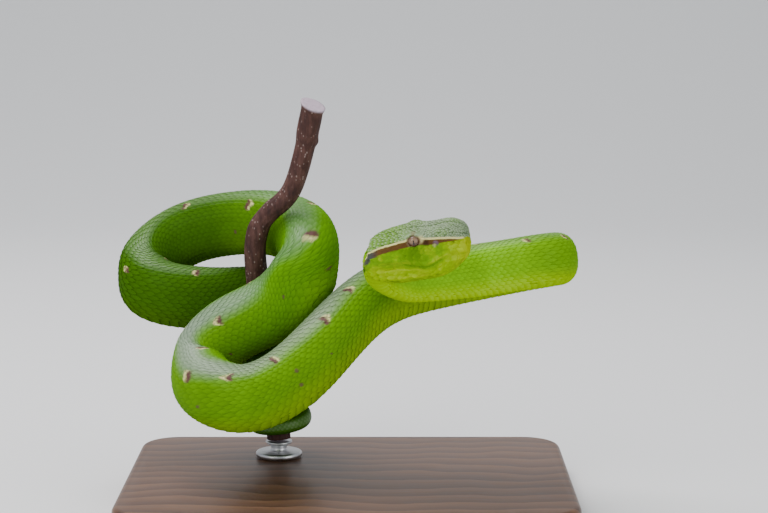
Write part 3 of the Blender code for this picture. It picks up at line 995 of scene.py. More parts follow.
# The skin: head rings, then coarser rings down the body to the tail tip.
def buildSkin():
    rows, count = headMesh.shape[:2]
    step = count // bodyShape["around"]
    tailAngle = angle[step // 2::step]
    start = headShape["collar"][-1] + bodyShape["spacing"]
    stations = np.arange(start, bodyLength, bodyShape["spacing"])
    s, turn = np.meshgrid(stations, tailAngle, indexing="ij")
    tube = bodyPoint(s, turn)
    tube = tube - unit(tube - spineAt(stations)[0][:, None]) * coatDepth(stations)[:, None, None]
    points = [headMesh.reshape(-1, 3), tube.reshape(-1, 3), headMesh[0].mean(axis=0)[None],
              spineCentre[-1][None]]
    faces = tubeFaces(rows, count)
    last, base, small = (rows - 1) * count, rows * count, bodyShape["around"]
    half = step // 2
    # Fans join the head's fine last ring to the body's coarser first one.
    for j in range(small):
        k = (j + 1) % small
        fan = [last + (j * step + half + n) % count for n in range(step + 1)]
        faces.append((*fan[:2], base + j))
        faces.extend((fan[n], fan[n + 1], base + j) for n in range(1, step - 1))
        faces.append((fan[step - 1], fan[step], base + k, base + j))
    faces += tubeFaces(len(stations), small, base)
    nose = base + len(stations) * small
    end = base + (len(stations) - 1) * small
    faces.extend((nose, (j + 1) % count, j) for j in range(count))
    faces.extend((nose + 1, end + j, end + (j + 1) % small) for j in range(small))
    points = np.concatenate(points)
    skin = makeObject("viperSkin", points, faces, skinMaterial)
    outwards(skin)
    runHead = np.linspace(0, headShape["collar"][-1], rows)[:, None] * np.ones(count)
    places = toHead(headMesh)
    headShare = headShareAt(places) * (1 - neckShare(rows, 1))
    allS = np.concatenate([runHead.ravel(), s.ravel(), (0, bodyLength)])
    turns = np.concatenate([np.tile(angle, rows), (turn - backTwist(s)).ravel(), (0, 0)])
    allAngle = (turns + math.pi) % (2 * math.pi) - math.pi
    share = np.concatenate([headShare.ravel(), np.zeros(s.size), (1, 0)])
    for name, values in paintFields(points, allS, allAngle, share).items():
        setField(skin.data, name, values)
    setField(skin.data, "napeShare", napeShare(toHead(points)))
    onCrown, onFace, onBody = hideFinish["seams"]
    seams = np.where(browGap(places) > 0, onCrown, onFace) * headShare + onBody * (1 - headShare)
    setField(skin.data, "between", np.concatenate([seams.ravel(), np.full(s.size, onBody), (0.3, 0.5)]))
    return skin


skin = buildSkin()
print("skin", len(skin.data.polygons), "faces")


# Scale shapes: across -0.5 to 0.5, root 0 to tip 1, height in mm. Closed, with a sharp rim.
def scaleShape(name, rows, across, tilt, dome, keel, keelWidth=0.20, ends=0.0):
    points, blade, offset, ridge = [], [], [], []
    for y, half in rows:
        for x in across:
            swell = math.sin(math.pi * min(1, y * 0.92 + 0.06)) ** 0.6
            height = tilt[0] + (tilt[1] - tilt[0]) * y + dome * (1 - x * x) * swell
            points.append((x * half, y - ends * x * x * y, height))
            ridge.append(keel * math.exp(-(x / keelWidth) ** 2) * swell)
            blade.append(y)
            offset.append(x)
    wide, faces, sharp = len(across), [], []
    for i in range(len(rows) - 1):
        a, b = i * wide, (i + 1) * wide
        faces.extend((a + j, a + j + 1, b + j + 1, b + j) for j in range(wide - 1))
        faces.append((a + wide - 1, a, b, b + wide - 1))
        sharp += [(a, b), (a + wide - 1, b + wide - 1)]
    last = (len(rows) - 1) * wide
    faces.append(tuple(range(wide - 1, -1, -1)))
    faces.append(tuple(range(last, last + wide)))
    sharp += [(j, j + 1) for j in range(wide - 1)] + [(last + j, last + j + 1) for j in range(wide - 1)]
    shape = makeObject(name, np.array(points) / mm, faces)
    for field, values in (("blade", blade), ("across", offset), ("ridge", ridge)):
        setField(shape.data, field, values)
    marked = {tuple(sorted(pair)) for pair in sharp}
    flags = [tuple(sorted(edge.vertices)) in marked for edge in shape.data.edges]
    layer = shape.data.attributes.new("sharp_edge", "BOOLEAN", "EDGE")
    layer.data.foreach_set("value", flags)
    outwards(shape)
    return shape


def newTree(name, inputs):
    tree = bpy.data.node_groups.new(name, "GeometryNodeTree")
    sockets = {}
    for label, kind, value in (("Geometry", "Geometry", None), *inputs):
        item = tree.interface.new_socket(name=label, in_out="INPUT", socket_type="NodeSocket" + kind)
        if value is not None:
            item.default_value = value
        sockets[label] = item.identifier
    tree.interface.new_socket(name="Geometry", in_out="OUTPUT", socket_type="NodeSocketGeometry")
    graph = Graph(tree)
    return graph, graph.node("NodeGroupInput"), sockets


def closeTree(graph, geometry, finish):
    painted = graph.node("GeometryNodeSetMaterial", {}, {"Geometry": geometry, "Material": finish})
    leave = graph.tree.nodes.new("NodeGroupOutput")
    graph.tree.links.new(painted.socket, leave.inputs["Geometry"])


def scaleAndSize(graph, entry):
    # The scale that a tree lays down, and its size at each point, a little uneven.
    jitter = graph.random(-1.0, 1.0, entry.out("Seed")) * entry.out("Unevenness") + 1.0
    size = graph.node("ShaderNodeCombineXYZ", {}, {"X": entry.out("Fullness") * jitter,
                                                   "Y": entry.out("Overlap") * jitter,
                                                   "Z": entry.out("Thickness")})
    return graph.shapeOf(entry.out("Shape")), graph.vector("MULTIPLY", size, graph.named("step"))


def realized(graph, instances, seed):
    toned = graph.store(instances, "tone", graph.random(0.0, 1.0, seed), "INSTANCE")
    return graph.node("GeometryNodeRealizeInstances", {}, {"Geometry": toned})


def wrapTree():
    # Lays scales on a flat lattice (angle, distance), then wraps them round the spine.
    graph, entry, sockets = newTree("wrappedScales", (
        ("Shape", "Object", None), ("Spine", "Object", None), ("Body length", "Float", 450.0),
        ("Fullness", "Float", 1.2), ("Overlap", "Float", 1.5), ("Thickness", "Float", 1.0),
        ("Unevenness", "Float", 0.05), ("Squareness", "Float", 0.85), ("Belly drop", "Float", 0.95),
        ("Seed", "Int", 3), ("Finish", "Material", None)))
    shape, size = scaleAndSize(graph, entry)
    laid = graph.node("GeometryNodeInstanceOnPoints", {}, {"Points": entry.out("Geometry"),
                                                           "Instance": shape, "Scale": size})
    real = realized(graph, laid, 11)
    flat = graph.node("ShaderNodeSeparateXYZ", {}, {"Vector": graph.node("GeometryNodeInputPosition")})
    run = flat.out("Y")
    real = graph.store(graph.store(real, "flatTurn", flat), "flatRun", run)
    ridge = graph.named("ridge", "FLOAT") * graph.named("keeled", "FLOAT") * entry.out("Thickness")
    height = flat.out("Z") + ridge
    spine = graph.node("GeometryNodeMeshToCurve", {}, {"Mesh": graph.shapeOf(entry.out("Spine"))})
    factor = (run / entry.out("Body length")).maths("MAXIMUM", 0.0).maths("MINIMUM", 1.0)

    def sampled(value, out="Value"):
        links = {"Curves": spine, "Factor": factor}
        if value:
            links["Value"] = graph.named(value)
        return graph.node("GeometryNodeSampleCurve", {"mode": "FACTOR", "data_type": "FLOAT_VECTOR"},
                          links, out)

    def bent(wave):
        return wave.maths("SIGN") * abs(wave) ** entry.out("Squareness")

    def scaled(direction, amount):
        return graph.node("ShaderNodeVectorMath", {"operation": "SCALE"},
                          {"Vector": direction, "Scale": amount})

    girth = graph.node("ShaderNodeSeparateXYZ", {}, {"Vector": sampled("girth")})
    turn = flat + girth.out("Z")
    across = bent(turn.maths("SINE")) * girth
    tall = bent(turn.maths("COSINE")) * girth.out("Y")
    below = tall.maths("LESS_THAN", 0.0)
    tall = tall * (1.0 - below * (1.0 - entry.out("Belly drop")))
    spoke = graph.vector("ADD", scaled(sampled("side"), across), scaled(sampled("back"), tall))
    outward = graph.node("ShaderNodeVectorMath", {"operation": "NORMALIZE"}, {"Vector": spoke})
    lifted = graph.vector("ADD", spoke, scaled(outward, height * mm))
    place = graph.vector("ADD", sampled(None, "Position"), lifted)
    moved = graph.node("GeometryNodeSetPosition", {}, {"Geometry": real, "Position": place})
    closeTree(graph, moved, entry.out("Finish"))
    return graph.tree, sockets


def spineObject():
    at = np.arange(0, bodyLength, 0.5)
    centre, side, back = spineAt(at)
    halfWidth, halfHeight = girthAt(at)
    steps = [(i, i + 1) for i in range(len(at) - 1)]
    girth = np.stack([halfWidth * mm, halfHeight * mm, backTwist(at)], axis=1)
    spine = makeObject("spineGuide", centre, [], edges=steps, smooth=False)
    for name, values in (("side", side), ("back", back), ("girth", girth)):
        setField(spine.data, name, values, "FLOAT_VECTOR")
    return spine, float(at[-1])


# The body's coat, zone by zone: from, to (mm behind the neck) and rows across the back.
coatShape = {
    "zones": (("coatNeck", 4.0, 44.0, 31), ("coatFore", 44.0, 108.0, 35),
              ("coatMiddle", 108.0, 172.0, 35), ("coatHind", 172.0, 245.0, 35),
              ("coatLoop", 245.0, 318.0, 35), ("coatRear", 318.0, 396.0, 25),
              ("coatTail", 396.0, 462.0, 15)),
    "edge": 133.0,                      # where the belly plates start, in degrees from the back
    "pitch": ((0, 1.3), (40, 1.5), (100, 1.75), (300, 1.75), (340, 1.6), (396, 1.4), (462, 0.8)),
    "fullness": 1.16,
    "overlap": 1.5,
    "keeled": (38.0, 80.0),             # full keels on the back, none beyond this many degrees
    "thin": (5.5, 0.22),                # half width where scales are full thickness, least share of it
    "tilt": (-0.27, -0.03),             # height of a scale's root and tip
    "dome": 0.03,
    "keel": (0.07, 0.16),               # height, width
    # A scale's outline, root to tip: share of its length, half breadth.
    "leaf": ((0.0, 0.30), (0.20, 0.42), (0.44, 0.50), (0.66, 0.49), (0.83, 0.38), (0.94, 0.21),
             (1.0, 0.05)),
    "leafAcross": (-1.0, -0.45, 0.0, 0.45, 1.0),
}


def pitchAt(s):
    table = np.array(coatShape["pitch"])
    return np.interp(s, table[:, 0], table[:, 1])


def arcAngles():
    # Distance round a typical section, a little narrower than tall.
    turn = np.linspace(0, math.pi, 721)
    x, z = sectionAt(turn, 0.86, 1.0)
    return turn, np.r_[0, np.cumsum(np.hypot(np.diff(x), np.diff(z)))]


turnTable, arcTable = arcAngles()


def columns(start, stop):
    places = [start]
    while places[-1] < stop:
        places.append(places[-1] + float(pitchAt(places[-1])))
    return np.array(places)


def dorsalLattice(start, stop, rows):
    edge = np.interp(math.radians(coatShape["edge"]), turnTable, arcTable)
    step = 2 * edge / rows
    at = columns(start, stop)
    count = np.arange(len(at), dtype=float)
    lattice = []
    for row in range(-(rows // 2), rows // 2 + 1):
        shift = 0.5 if row % 2 else 0.0
        s = np.interp(count[:-1] + shift, count, at)
        here = np.interp(abs(row) * step, arcTable, turnTable)
        wide = np.interp((abs(row) + 0.5) * step, arcTable, turnTable) - here
        wide += here - np.interp(max(abs(row) - 0.5, 0) * step, arcTable, turnTable) if row else wide
        turn = math.copysign(here, row) if row else 0.0
        lattice.append(np.stack([np.full(len(s), turn), s, np.full(len(s), wide), pitchAt(s)], axis=1))
    return np.concatenate(lattice)


def coatPiece(name, lattice, shape, fullness, overlap, seed):
    turn, s, wide, tall = lattice.T
    points = makeObject(name, np.stack([turn, s, s * 0], axis=1) / mm, [], smooth=False)
    fullAt, least = coatShape["thin"]
    thick = np.clip(girthAt(s)[0] / fullAt, least, 1.0)
    setField(points.data, "step", np.stack([wide, tall, thick], axis=1), "FLOAT_VECTOR")
    low, high = coatShape["keeled"]
    setField(points.data, "keeled", clamped((high - np.degrees(np.abs(turn))) / (high - low)) * thick)
    setField(points.data, "napeShare", np.ones(len(s)))
    halfWidth, halfHeight = girthAt(s)
    arc = turn * (halfWidth + halfHeight) / 2 * 0.98
    setRoots(points.data, unwrapPlace(unwrapShape["headLength"] + s, arc))
    finishTree(points, bodyTree, {
        "Shape": shape, "Spine": spineGuide, "Body length": spineSpan, "Fullness": fullness,
        "Overlap": overlap, "Squareness": bodyShape["squareness"], "Belly drop": bodyShape["bellyDrop"],
        "Seed": seed, "Finish": coatMaterial})
    outwards(points)
    mesh = points.data
    fields = paintFields(None, getField(mesh, "flatRun"), getField(mesh, "flatTurn"), 0.0)
    for field, values in fields.items():
        setField(mesh, field, np.broadcast_to(values, len(mesh.vertices)))
    bakeMap(points)
    return points


bodyTree = wrapTree()
spineGuide, spineSpan = spineObject()
leaf = scaleShape("leafShape", coatShape["leaf"], coatShape["leafAcross"], coatShape["tilt"],
                  coatShape["dome"], *coatShape["keel"])
coats = []
for number, (name, start, stop, rows) in enumerate(coatShape["zones"]):
    lattice = dorsalLattice(start, min(stop, bodyLength), rows)
    coats.append(coatPiece(name, lattice, leaf, coatShape["fullness"], coatShape["overlap"], number + 2))
    print(name, len(lattice), "scales")

# Belly plates, one to a row of scales, then paired plates under the tail.
bellyShape = {
    "rows": ((0.0, 1.0), (0.3, 1.0), (0.6, 1.0), (0.85, 1.0), (1.0, 0.98)),
    "start": 4.0,
    "vent": 396.0,
    "half": 0.83,                       # half breadth of a plate, radians
    "pair": (0.47, 0.55),               # under the tail: turn from the middle, half breadth
    "overlap": 1.45,
    "tilt": (-0.28, -0.04),
    "dome": 0.04,
    "bow": 0.16,                        # how far a plate's ends lie forward
    "seed": 9,
}


def bellyLattice():
    def plates(at, turn, half):
        return np.stack([np.full(len(at), turn), at, np.full(len(at), half), pitchAt(at)], axis=1)

    turn, half = bellyShape["pair"]
    rear = columns(bellyShape["vent"] + 2.0, bodyLength - 2)
    return np.concatenate([
        plates(columns(bellyShape["start"], bellyShape["vent"]), math.pi, bellyShape["half"]),
        plates(rear, math.pi - turn, half),
        plates(rear + 0.5 * pitchAt(rear), math.pi + turn, half)])


acrossBelly = tuple(np.round(np.sin(np.linspace(-1.45, 1.45, 25)) / math.sin(1.45), 4).tolist())
plate = scaleShape("plateShape", bellyShape["rows"], acrossBelly, bellyShape["tilt"], bellyShape["dome"],
                   0.0, ends=bellyShape["bow"])
coats.append(coatPiece("bellyPlates", bellyLattice(), plate, 1.0, bellyShape["overlap"],
                       bellyShape["seed"]))
print("belly", len(coats[-1].data.polygons), "faces")


# The head's coat: small domed scales, sized by place, that lie back along the head.
headCoat = {
    "seed": 7,
    "tries": 60000,
    "settle": 7,
    "samples": 36000,
    # A scale's outline, root to tip: share of its length, half breadth.
    "granule": ((0.0, 0.30), (0.18, 0.43), (0.42, 0.50), (0.66, 0.45), (0.85, 0.28), (1.0, 0.06)),
    "granuleAcross": (-1.0, -0.6, -0.22, 0.0, 0.22, 0.6, 1.0),
    "fullness": 1.10,
    "overlap": 1.42,
    "tilt": (-0.10, 0.13),              # height of a scale's root and tip
    "dome": 0.16,
    "apart": 0.80,                      # least distance between scales, as a share of their size
    "rootAhead": 0.62,                  # how far ahead of its place a scale starts
    "flatCheek": 0.42,                  # thickness below the brow line, as a share of the crown's
    "lastRings": 34,                    # rings at the neck's end that carry no head scales
    "shapeSeed": 21,
    # Size of the scales: back, mm.
    "crownSize": ((0, 0.54), (4, 0.56), (10, 0.63), (15, 0.76), (20, 1.0), (25, 1.25)),
    "cheekSize": ((0, 1.05), (6, 1.15), (12, 1.3), (20, 1.45)),
}


def headSpacing(places):
    # Fine on the snout, larger on the nape, cheeks and throat.
    back, up = places[:, 0], places[:, 2]
    crown, cheek = (np.interp(back, *zip(*headCoat[part])) for part in ("crownSize", "cheekSize"))
    below = clamped(lineAt("browLine", back) - up - 0.6)
    return crown + (cheek - crown) * below


# Smooth plates laid on the head: the lips, the snout tip, the rings round the eyes and their brows.
plateShape = {
    "grid": (9, 7),
    "upperLip": {"edges": (0.9, 2.6, 4.3, 6.1, 7.9, 9.7, 11.6, 13.6, 15.7, 17.8, 19.8), "height": 1.45},
    "lowerLip": {"edges": (1.2, 2.8, 4.4, 6.2, 8.0, 9.8, 11.6, 13.5, 15.5, 17.6, 19.6), "height": 1.35},
    "slant": 0.22,
    "lipStart": 0.10,                   # from the mouth line to the first row of a lip
    "lipBow": 0.13,
    "lipMargin": 0.35,                  # kept free of scales above and below the lips
    "clear": ((7.3, 2.85, 0.80), (3.2, 2.6, 0.52)),     # bare pit and nostril: back, up, radius
    "eyeRing": (1.30, 2.02, 13),        # inner and outer radius, count
    "eyeClear": 2.15,
    "brows": ((9.9, 12.2), (12.3, 14.9)),
    "snout": ((0.25, 1.7, 1.5), (-1.9, -0.35, 1.25)),   # lowest, highest, half breadth
    "lift": {"lip": 0.085, "eyeRing": 0.10, "brow": 0.16, "snout": 0.09},
    "seed": 31,
}


def freeForScales(places):
    back, out, up = places[..., 0], np.abs(places[..., 1]), places[..., 2]
    gap = mouthGap(places)
    taper = np.clip((26 - back) / 8, 0.3, 1)
    high, low = ((plateShape[lip]["height"] + plateShape["lipMargin"]) * taper
                 for lip in ("upperLip", "lowerLip"))
    taken = (gap < high) & (gap > -low) & (back < plateShape["upperLip"]["edges"][-1])
    for u, w, radius in plateShape["clear"]:
        taken = taken | ((back - u) ** 2 + (up - w) ** 2 < radius ** 2) & (out > 3)
    return ~(taken | (eyeRingGap(places) < plateShape["eyeClear"]))


def sampleHead(count, rng):
    rows, around = headMesh.shape[:2]
    i = rng.integers(0, rows - headCoat["lastRings"], count * 3)
    j = rng.integers(0, around, count * 3)
    area = np.linalg.norm(np.cross(headMesh[i + 1, j] - headMesh[i, j],
                                   headMesh[i, (j + 1) % around] - headMesh[i, j]), axis=1)
    keep = rng.random(len(i)) < area / np.percentile(area, 98)
    i, j = i[keep][:count], j[keep][:count]
    return headMesh[i, j], headNormal[i, j], headLie[i, j]


def nearest(points, sites):
    # The place in sites of the one that is nearest to each point.
    gap = (points ** 2).sum(axis=1)[:, None] + (sites ** 2).sum(axis=1) - 2 * points @ sites.T
    return gap.argmin(axis=1)


def scatterHead():
    # Scatters scales that keep their distance, then evens them out.
    rng = np.random.default_rng(headCoat["seed"])
    points, normals, lies = sampleHead(headCoat["tries"], rng)
    places = toHead(points)
    spacing = headSpacing(places)
    allowed = np.flatnonzero(freeForScales(places))
    chosen = np.full((len(allowed), 3), 1e6)
    picked = []
    for n in allowed:
        gaps = ((chosen[:len(picked)] - points[n]) ** 2).sum(axis=1)
        if len(picked) and gaps.min() < (headCoat["apart"] * spacing[n]) ** 2:
            continue
        chosen[len(picked)] = points[n]
        picked.append(n)
    picked = np.array(picked)
    pool = allowed[:headCoat["samples"]]
    cloud = points[pool].astype(np.float32)
    weight = 1.0 / spacing[pool] ** 3
    for _ in range(headCoat["settle"]):
        sites = points[picked].astype(np.float32)
        owner = np.concatenate([nearest(cloud[part:part + 4000], sites)
                                for part in range(0, len(cloud), 4000)])
        total = np.bincount(owner, weight, len(picked))
        middle = np.stack([np.bincount(owner, weight * cloud[:, k], len(picked)) for k in range(3)], axis=1)
        middle = np.where(total[:, None] > 0, middle / np.maximum(total, 1e-9)[:, None], sites)
        picked = pool[nearest(middle, cloud)]
    picked = np.unique(picked)
    return points[picked], normals[picked], lies[picked], spacing[picked]


def standTree():
    # Stands a shape on every point, turned by the point's own lie and outward directions.
    graph, entry, sockets = newTree("standingScales", (
        ("Shape", "Object", None), ("Fullness", "Float", 1.1), ("Overlap", "Float", 1.4),
        ("Thickness", "Float", 1.0), ("Unevenness", "Float", 0.08), ("Seed", "Int", 5),
        ("Finish", "Material", None)))
    shape, size = scaleAndSize(graph, entry)
    upright = graph.node("FunctionNodeAlignRotationToVector", {"axis": "Z"}, {"Vector": graph.named("out")})
    turned = graph.node("FunctionNodeAlignRotationToVector", {"axis": "Y", "pivot_axis": "Z"},
                        {"Rotation": upright, "Vector": graph.named("lie")})
    laid = graph.node("GeometryNodeInstanceOnPoints", {}, {
        "Points": entry.out("Geometry"), "Instance": shape, "Rotation": turned, "Scale": size})
    closeTree(graph, realized(graph, laid, 5), entry.out("Finish"))
    return graph.tree, sockets


def headAngle(places):
    return np.arctan2(places[..., 1], places[..., 2] + unwrapShape["headMiddle"])


def headRoot(places):
    run = np.clip(places[..., 0], 0, unwrapShape["headLength"]) + 0.2
    return unwrapPlace(run, headAngle(places) * unwrapShape["headGirth"])


def repaintHead(piece):
    # Head scales are painted corner by corner, so that the fine stripes stay whole.
    mesh = piece.data
    points = np.empty(len(mesh.vertices) * 3)
    mesh.vertices.foreach_get("co", points)
    points = points.reshape(-1, 3) / mm
    places = toHead(points)
    fields = paintFields(points, np.zeros(len(points)), -headAngle(places), headShareAt(places))
    for field, values in fields.items():
        setField(mesh, field, values)
    setField(mesh, "napeShare", napeShare(places))


def granulePiece(name, shape, tree):
    points, normals, lies, spacing = scatterHead()
    print("head scales", len(points))
    away = lies * spacing[:, None] * headCoat["rootAhead"]
    piece = makeObject(name, points - away, [], smooth=False)
    onCrown = clamped(browGap(toHead(points)) / 0.6 + 0.3)
    flat = headCoat["flatCheek"]
    thick = np.clip(spacing, 0.7, 1.3) * (flat + (1 - flat) * onCrown)
    step = np.stack([spacing, spacing, thick], axis=1) * mm
    for field, values in (("step", step), ("out", normals), ("lie", lies)):
        setField(piece.data, field, values, "FLOAT_VECTOR")
    setRoots(piece.data, headRoot(toHead(points)))
    finishTree(piece, tree, {
        "Shape": shape, "Fullness": headCoat["fullness"], "Overlap": headCoat["overlap"],
        "Seed": headCoat["shapeSeed"], "Finish": coatMaterial})
    outwards(piece)
    repaintHead(piece)
    bakeMap(piece)
    return piece


granule = scaleShape("granuleShape", headCoat["granule"], headCoat["granuleAcross"], headCoat["tilt"],
                     headCoat["dome"], 0.0)
coats.append(granulePiece("headScales", granule, standTree()))


def layPlates(name, cells):
    # Each cell is a sheet of starting places and a direction; it is dropped on the skin and domed.
    rows, around = headMesh.shape[:2]
    skinTree = BVHTree.FromPolygons(toHead(headMesh).reshape(-1, 3).tolist(), tubeFaces(rows - 19, around))
    wide, tall = plateShape["grid"]
    x, y = np.meshgrid(np.linspace(-1, 1, wide), np.linspace(-1, 1, tall))
    dome = (1 - np.abs(x) ** 4) * (1 - np.abs(y) ** 4)
    border = [*range(wide), *(i * wide + wide - 1 for i in range(1, tall))]
    border += [(tall - 1) * wide + j for j in range(wide - 2, -1, -1)]
    border += [i * wide for i in range(tall - 2, 0, -1)]
    size = wide * tall
    points, sides, blade, offset, tone = [], [], [], [], []
    rng = np.random.default_rng(plateShape["seed"])
    for origins, direction, lift in cells:
        direction = Vector(direction)
        laid, away = [], []
        for origin in origins.reshape(-1, 3):
            hit, normal = skinTree.ray_cast(Vector(origin), direction)[:2]
            if hit is None:
                hit, normal = skinTree.find_nearest(Vector(origin) + direction * 9)[:2]
            laid.append(hit)
            away.append(normal if normal.dot(direction) < 0 else -normal)
        laid, away = np.array(laid), np.array(away)
        start = len(points) * size * 2
        points.append(np.concatenate([laid + away * (dome.reshape(-1, 1) * (lift + 0.05) - 0.02),
                                      laid - away * 0.14]))
        for i in range(tall - 1):
            for j in range(wide - 1):
                a = start + i * wide + j
                sides.append((a, a + 1, a + wide + 1, a + wide))
                sides.append((a + size, a + size + wide, a + size + wide + 1, a + size + 1))
        for a, b in zip(border, border[1:] + border[:1]):
            sides.append((start + a, start + size + a, start + size + b, start + b))
        blade += [(y.ravel() + 1) / 2] * 2
        offset += [x.ravel()] * 2
        tone.append(np.full(size * 2, rng.random()))
    piece = makeObject(name, fromHead(np.concatenate(points)), sides, coatMaterial)
    outwards(piece)
    for field, values in (("blade", blade), ("across", offset), ("tone", tone)):
        setField(piece.data, field, np.concatenate(values))
    middles = np.array([part[:size].mean(axis=0) for part in points])
    setRoots(piece.data, headRoot(np.repeat(middles, size * 2, axis=0)))
    repaintHead(piece)
    bakeMap(piece)
    return piece


def sheetOf(back, out, up):
    return np.stack(np.broadcast_arrays(back, out, up), axis=-1)


def plateCells():
    wide, tall = plateShape["grid"]
    x, y = np.meshgrid(np.linspace(0, 1, wide), np.linspace(0, 1, tall))
    lift, first, far = plateShape["lift"], plateShape["lipStart"], 14.0
    cells = []
    for (centre, _), sign in zip(eyes, (1, -1)):
        for label, way in (("upperLip", 1), ("lowerLip", -1)):
            lip = plateShape[label]
            for low, high in zip(lip["edges"], lip["edges"][1:]):
                b = low + 0.05 + (high - low - 0.10) * x
                taper = np.clip((23.5 - b) / 6, 0.35, 1)
                bow = plateShape["lipBow"] * (1 - (2 * x - 1) ** 2)
                gap = first + (lip["height"] + bow) * y * taper
                up = lineAt("mouthLine", b) + way * gap
                sheet = sheetOf(b + plateShape["slant"] * gap, sign * far, up)
                cells.append((sheet, (0, -sign, 0), lift["lip"]))
        gaze = gazeOf(sign)
        fore = unit(np.cross(gaze, (0, 0, 1.0)))
        high = np.cross(fore, gaze)
        inner, outer, count = plateShape["eyeRing"]
        for n in range(count):
            turn = (2 * math.pi * (n + 0.04 + 0.92 * x) / count)[..., None]
            reach = (inner + (outer - inner) * y)[..., None]
            sheet = centre + gaze * 4 + (fore * np.cos(turn) + high * np.sin(turn)) * reach
            cells.append((sheet, tuple(-gaze), lift["eyeRing"]))
        for low, high in plateShape["brows"]:
            b = low + (high - low) * x
            bow = 0.35 * np.sin(math.pi * (b - plateShape["brows"][0][0]) / 5.0)
            sheet = sheetOf(b, sign * (2.9 + 0.25 * x + (1.75 + bow) * y), far)
            cells.append((sheet, (0, 0, -1), lift["brow"]))
    for low, high, half in plateShape["snout"]:
        cells.append((sheetOf(-6.0, (2 * x - 1) * half, -0.9 + low + (high - low) * y), (1, 0, 0),
                      lift["snout"]))
    return cells


coats.append(layPlates("headPlates", plateCells()))
print("head plates", len(coats[-1].data.polygons), "faces")


# Eyes
eyeShape = {
    # The iris: lighter above, a painted sheen, and darker below, painted shade, over its own brown.
    "irisSheenAbove": (0.26, 0.165, 0.095),
    "irisShadeBelow": (0.085, 0.038, 0.02),
    "irisDark": (0.06, 0.025, 0.014),
    "pupil": (0.012, 0.008, 0.006),
    "pupilWidth": 0.10,
    "pupilHeight": 0.56,
    "gaze": (-0.12, 0.12),              # back and up for one out
    "around": 48,
    "rings": 32,
}


def eyeMaterial(name, centre, radius, sign):
    material, graph, shader = newMaterial(name, {
        "Roughness": 0.15, "Specular IOR Level": 0.25, "Coat Weight": 0.35, "Coat Roughness": 0.04})
    back, up = eyeShape["gaze"]
    gaze = unit(np.array((back, sign, up))) @ headTurn
    place = graph.vector("SUBTRACT", graph.place(), tuple(fromHead(centre) * mm))

    def along(direction):
        return graph.vector("DOT_PRODUCT", place, tuple(direction), "Value") / (radius * mm)

    fore, upward, outward = along(unit(np.cross(headUp, gaze))), along(headUp), along(gaze)
    slit = (fore / eyeShape["pupilWidth"]) ** 2.0 + (upward / eyeShape["pupilHeight"]) ** 2.0
    pupil = (1.0 - slit.smooth(0.75, 1.2)) * outward.smooth(0.0, 0.2)
    ring = (fore ** 2.0 + upward ** 2.0) ** 0.5
    fleck = graph.noise(graph.place(), 3500.0, 4.0, 0.7)
    # Painted sheen on the iris's upper half, painted shade on its lower half.
    iris = graph.mix((upward + (fleck - 0.5) * 0.9).smooth(-0.25, 0.30), eyeShape["irisShadeBelow"],
                     eyeShape["irisSheenAbove"])
    iris = graph.mix(ring.smooth(0.55, 1.0) * 0.7 + (fleck - 0.5) * 0.6, iris, eyeShape["irisDark"])
    feed(graph, shader, {"Base Color": graph.mix(pupil, iris, eyeShape["pupil"])})
    return material


def buildEye(name, node, place, sign):
    # Rings from pole to pole, closed by a fan at each.
    centre, radius = place
    around, rings = eyeShape["around"], eyeShape["rings"]
    turn = 2 * math.pi * np.arange(around) / around
    fall = math.pi * np.arange(1, rings) / rings
    ball = sheetOf(np.sin(fall)[:, None] * np.cos(turn), np.sin(fall)[:, None] * np.sin(turn),
                   np.cos(fall)[:, None])
    points = np.concatenate([ball.reshape(-1, 3), ((0, 0, 1), (0, 0, -1))]) * radius + fromHead(centre)
    faces = tubeFaces(rings - 1, around)
    top, last = len(points) - 2, (rings - 2) * around
    faces.extend((top, j, (j + 1) % around) for j in range(around))
    faces.extend((top + 1, last + (j + 1) % around, last + j) for j in range(around))
    piece = makeObject(name, points, faces, eyeMaterial(name, centre, radius, sign))
    outwards(piece)
    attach(piece, "root")
    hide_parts(node)
    return piece


buildEye("eyeNear", "eye_near", eyes[0], 1)
buildEye("eyeFar", "eye_far", eyes[1], -1)
print("eyes")


# The twig: bark with ridges, pores and two leaf scars, cut clean at both ends.
barkShape = {
    "ridge": 0.22,
    "seed": 12,
    "waves": 26,
    # share of the length, facing, breadth, height
    "knots": ((0.095, 0.1, 1.5, 0.45), (0.16, 0.8, 2.2, 0.24), (0.31, 3.6, 2.0, 0.2)),
    "slim": 0.985,
    "waist": 0.90,
    "upper": 0.12,                      # how much thicker the cut top is, and its rim
    "rim": 0.15,
    "cutSlope": 0.95,
    "cutFacing": 5.4,
    "cutLift": 1.0,
    "cutRings": ((0.86, 0.0), (0.5, -0.05), (0.12, -0.02)),     # share of the end's ring, lift
    "bark": ((0.30, (0.012, 0.005, 0.005)), (0.52, (0.050, 0.018, 0.014)), (0.70, (0.105, 0.046, 0.036)),
             (0.88, (0.26, 0.18, 0.15))),
    "pores": (0.36, 0.27, 0.24),
    "wood": ((0.34, 0.26, 0.30), (0.53, 0.44, 0.51)),
}


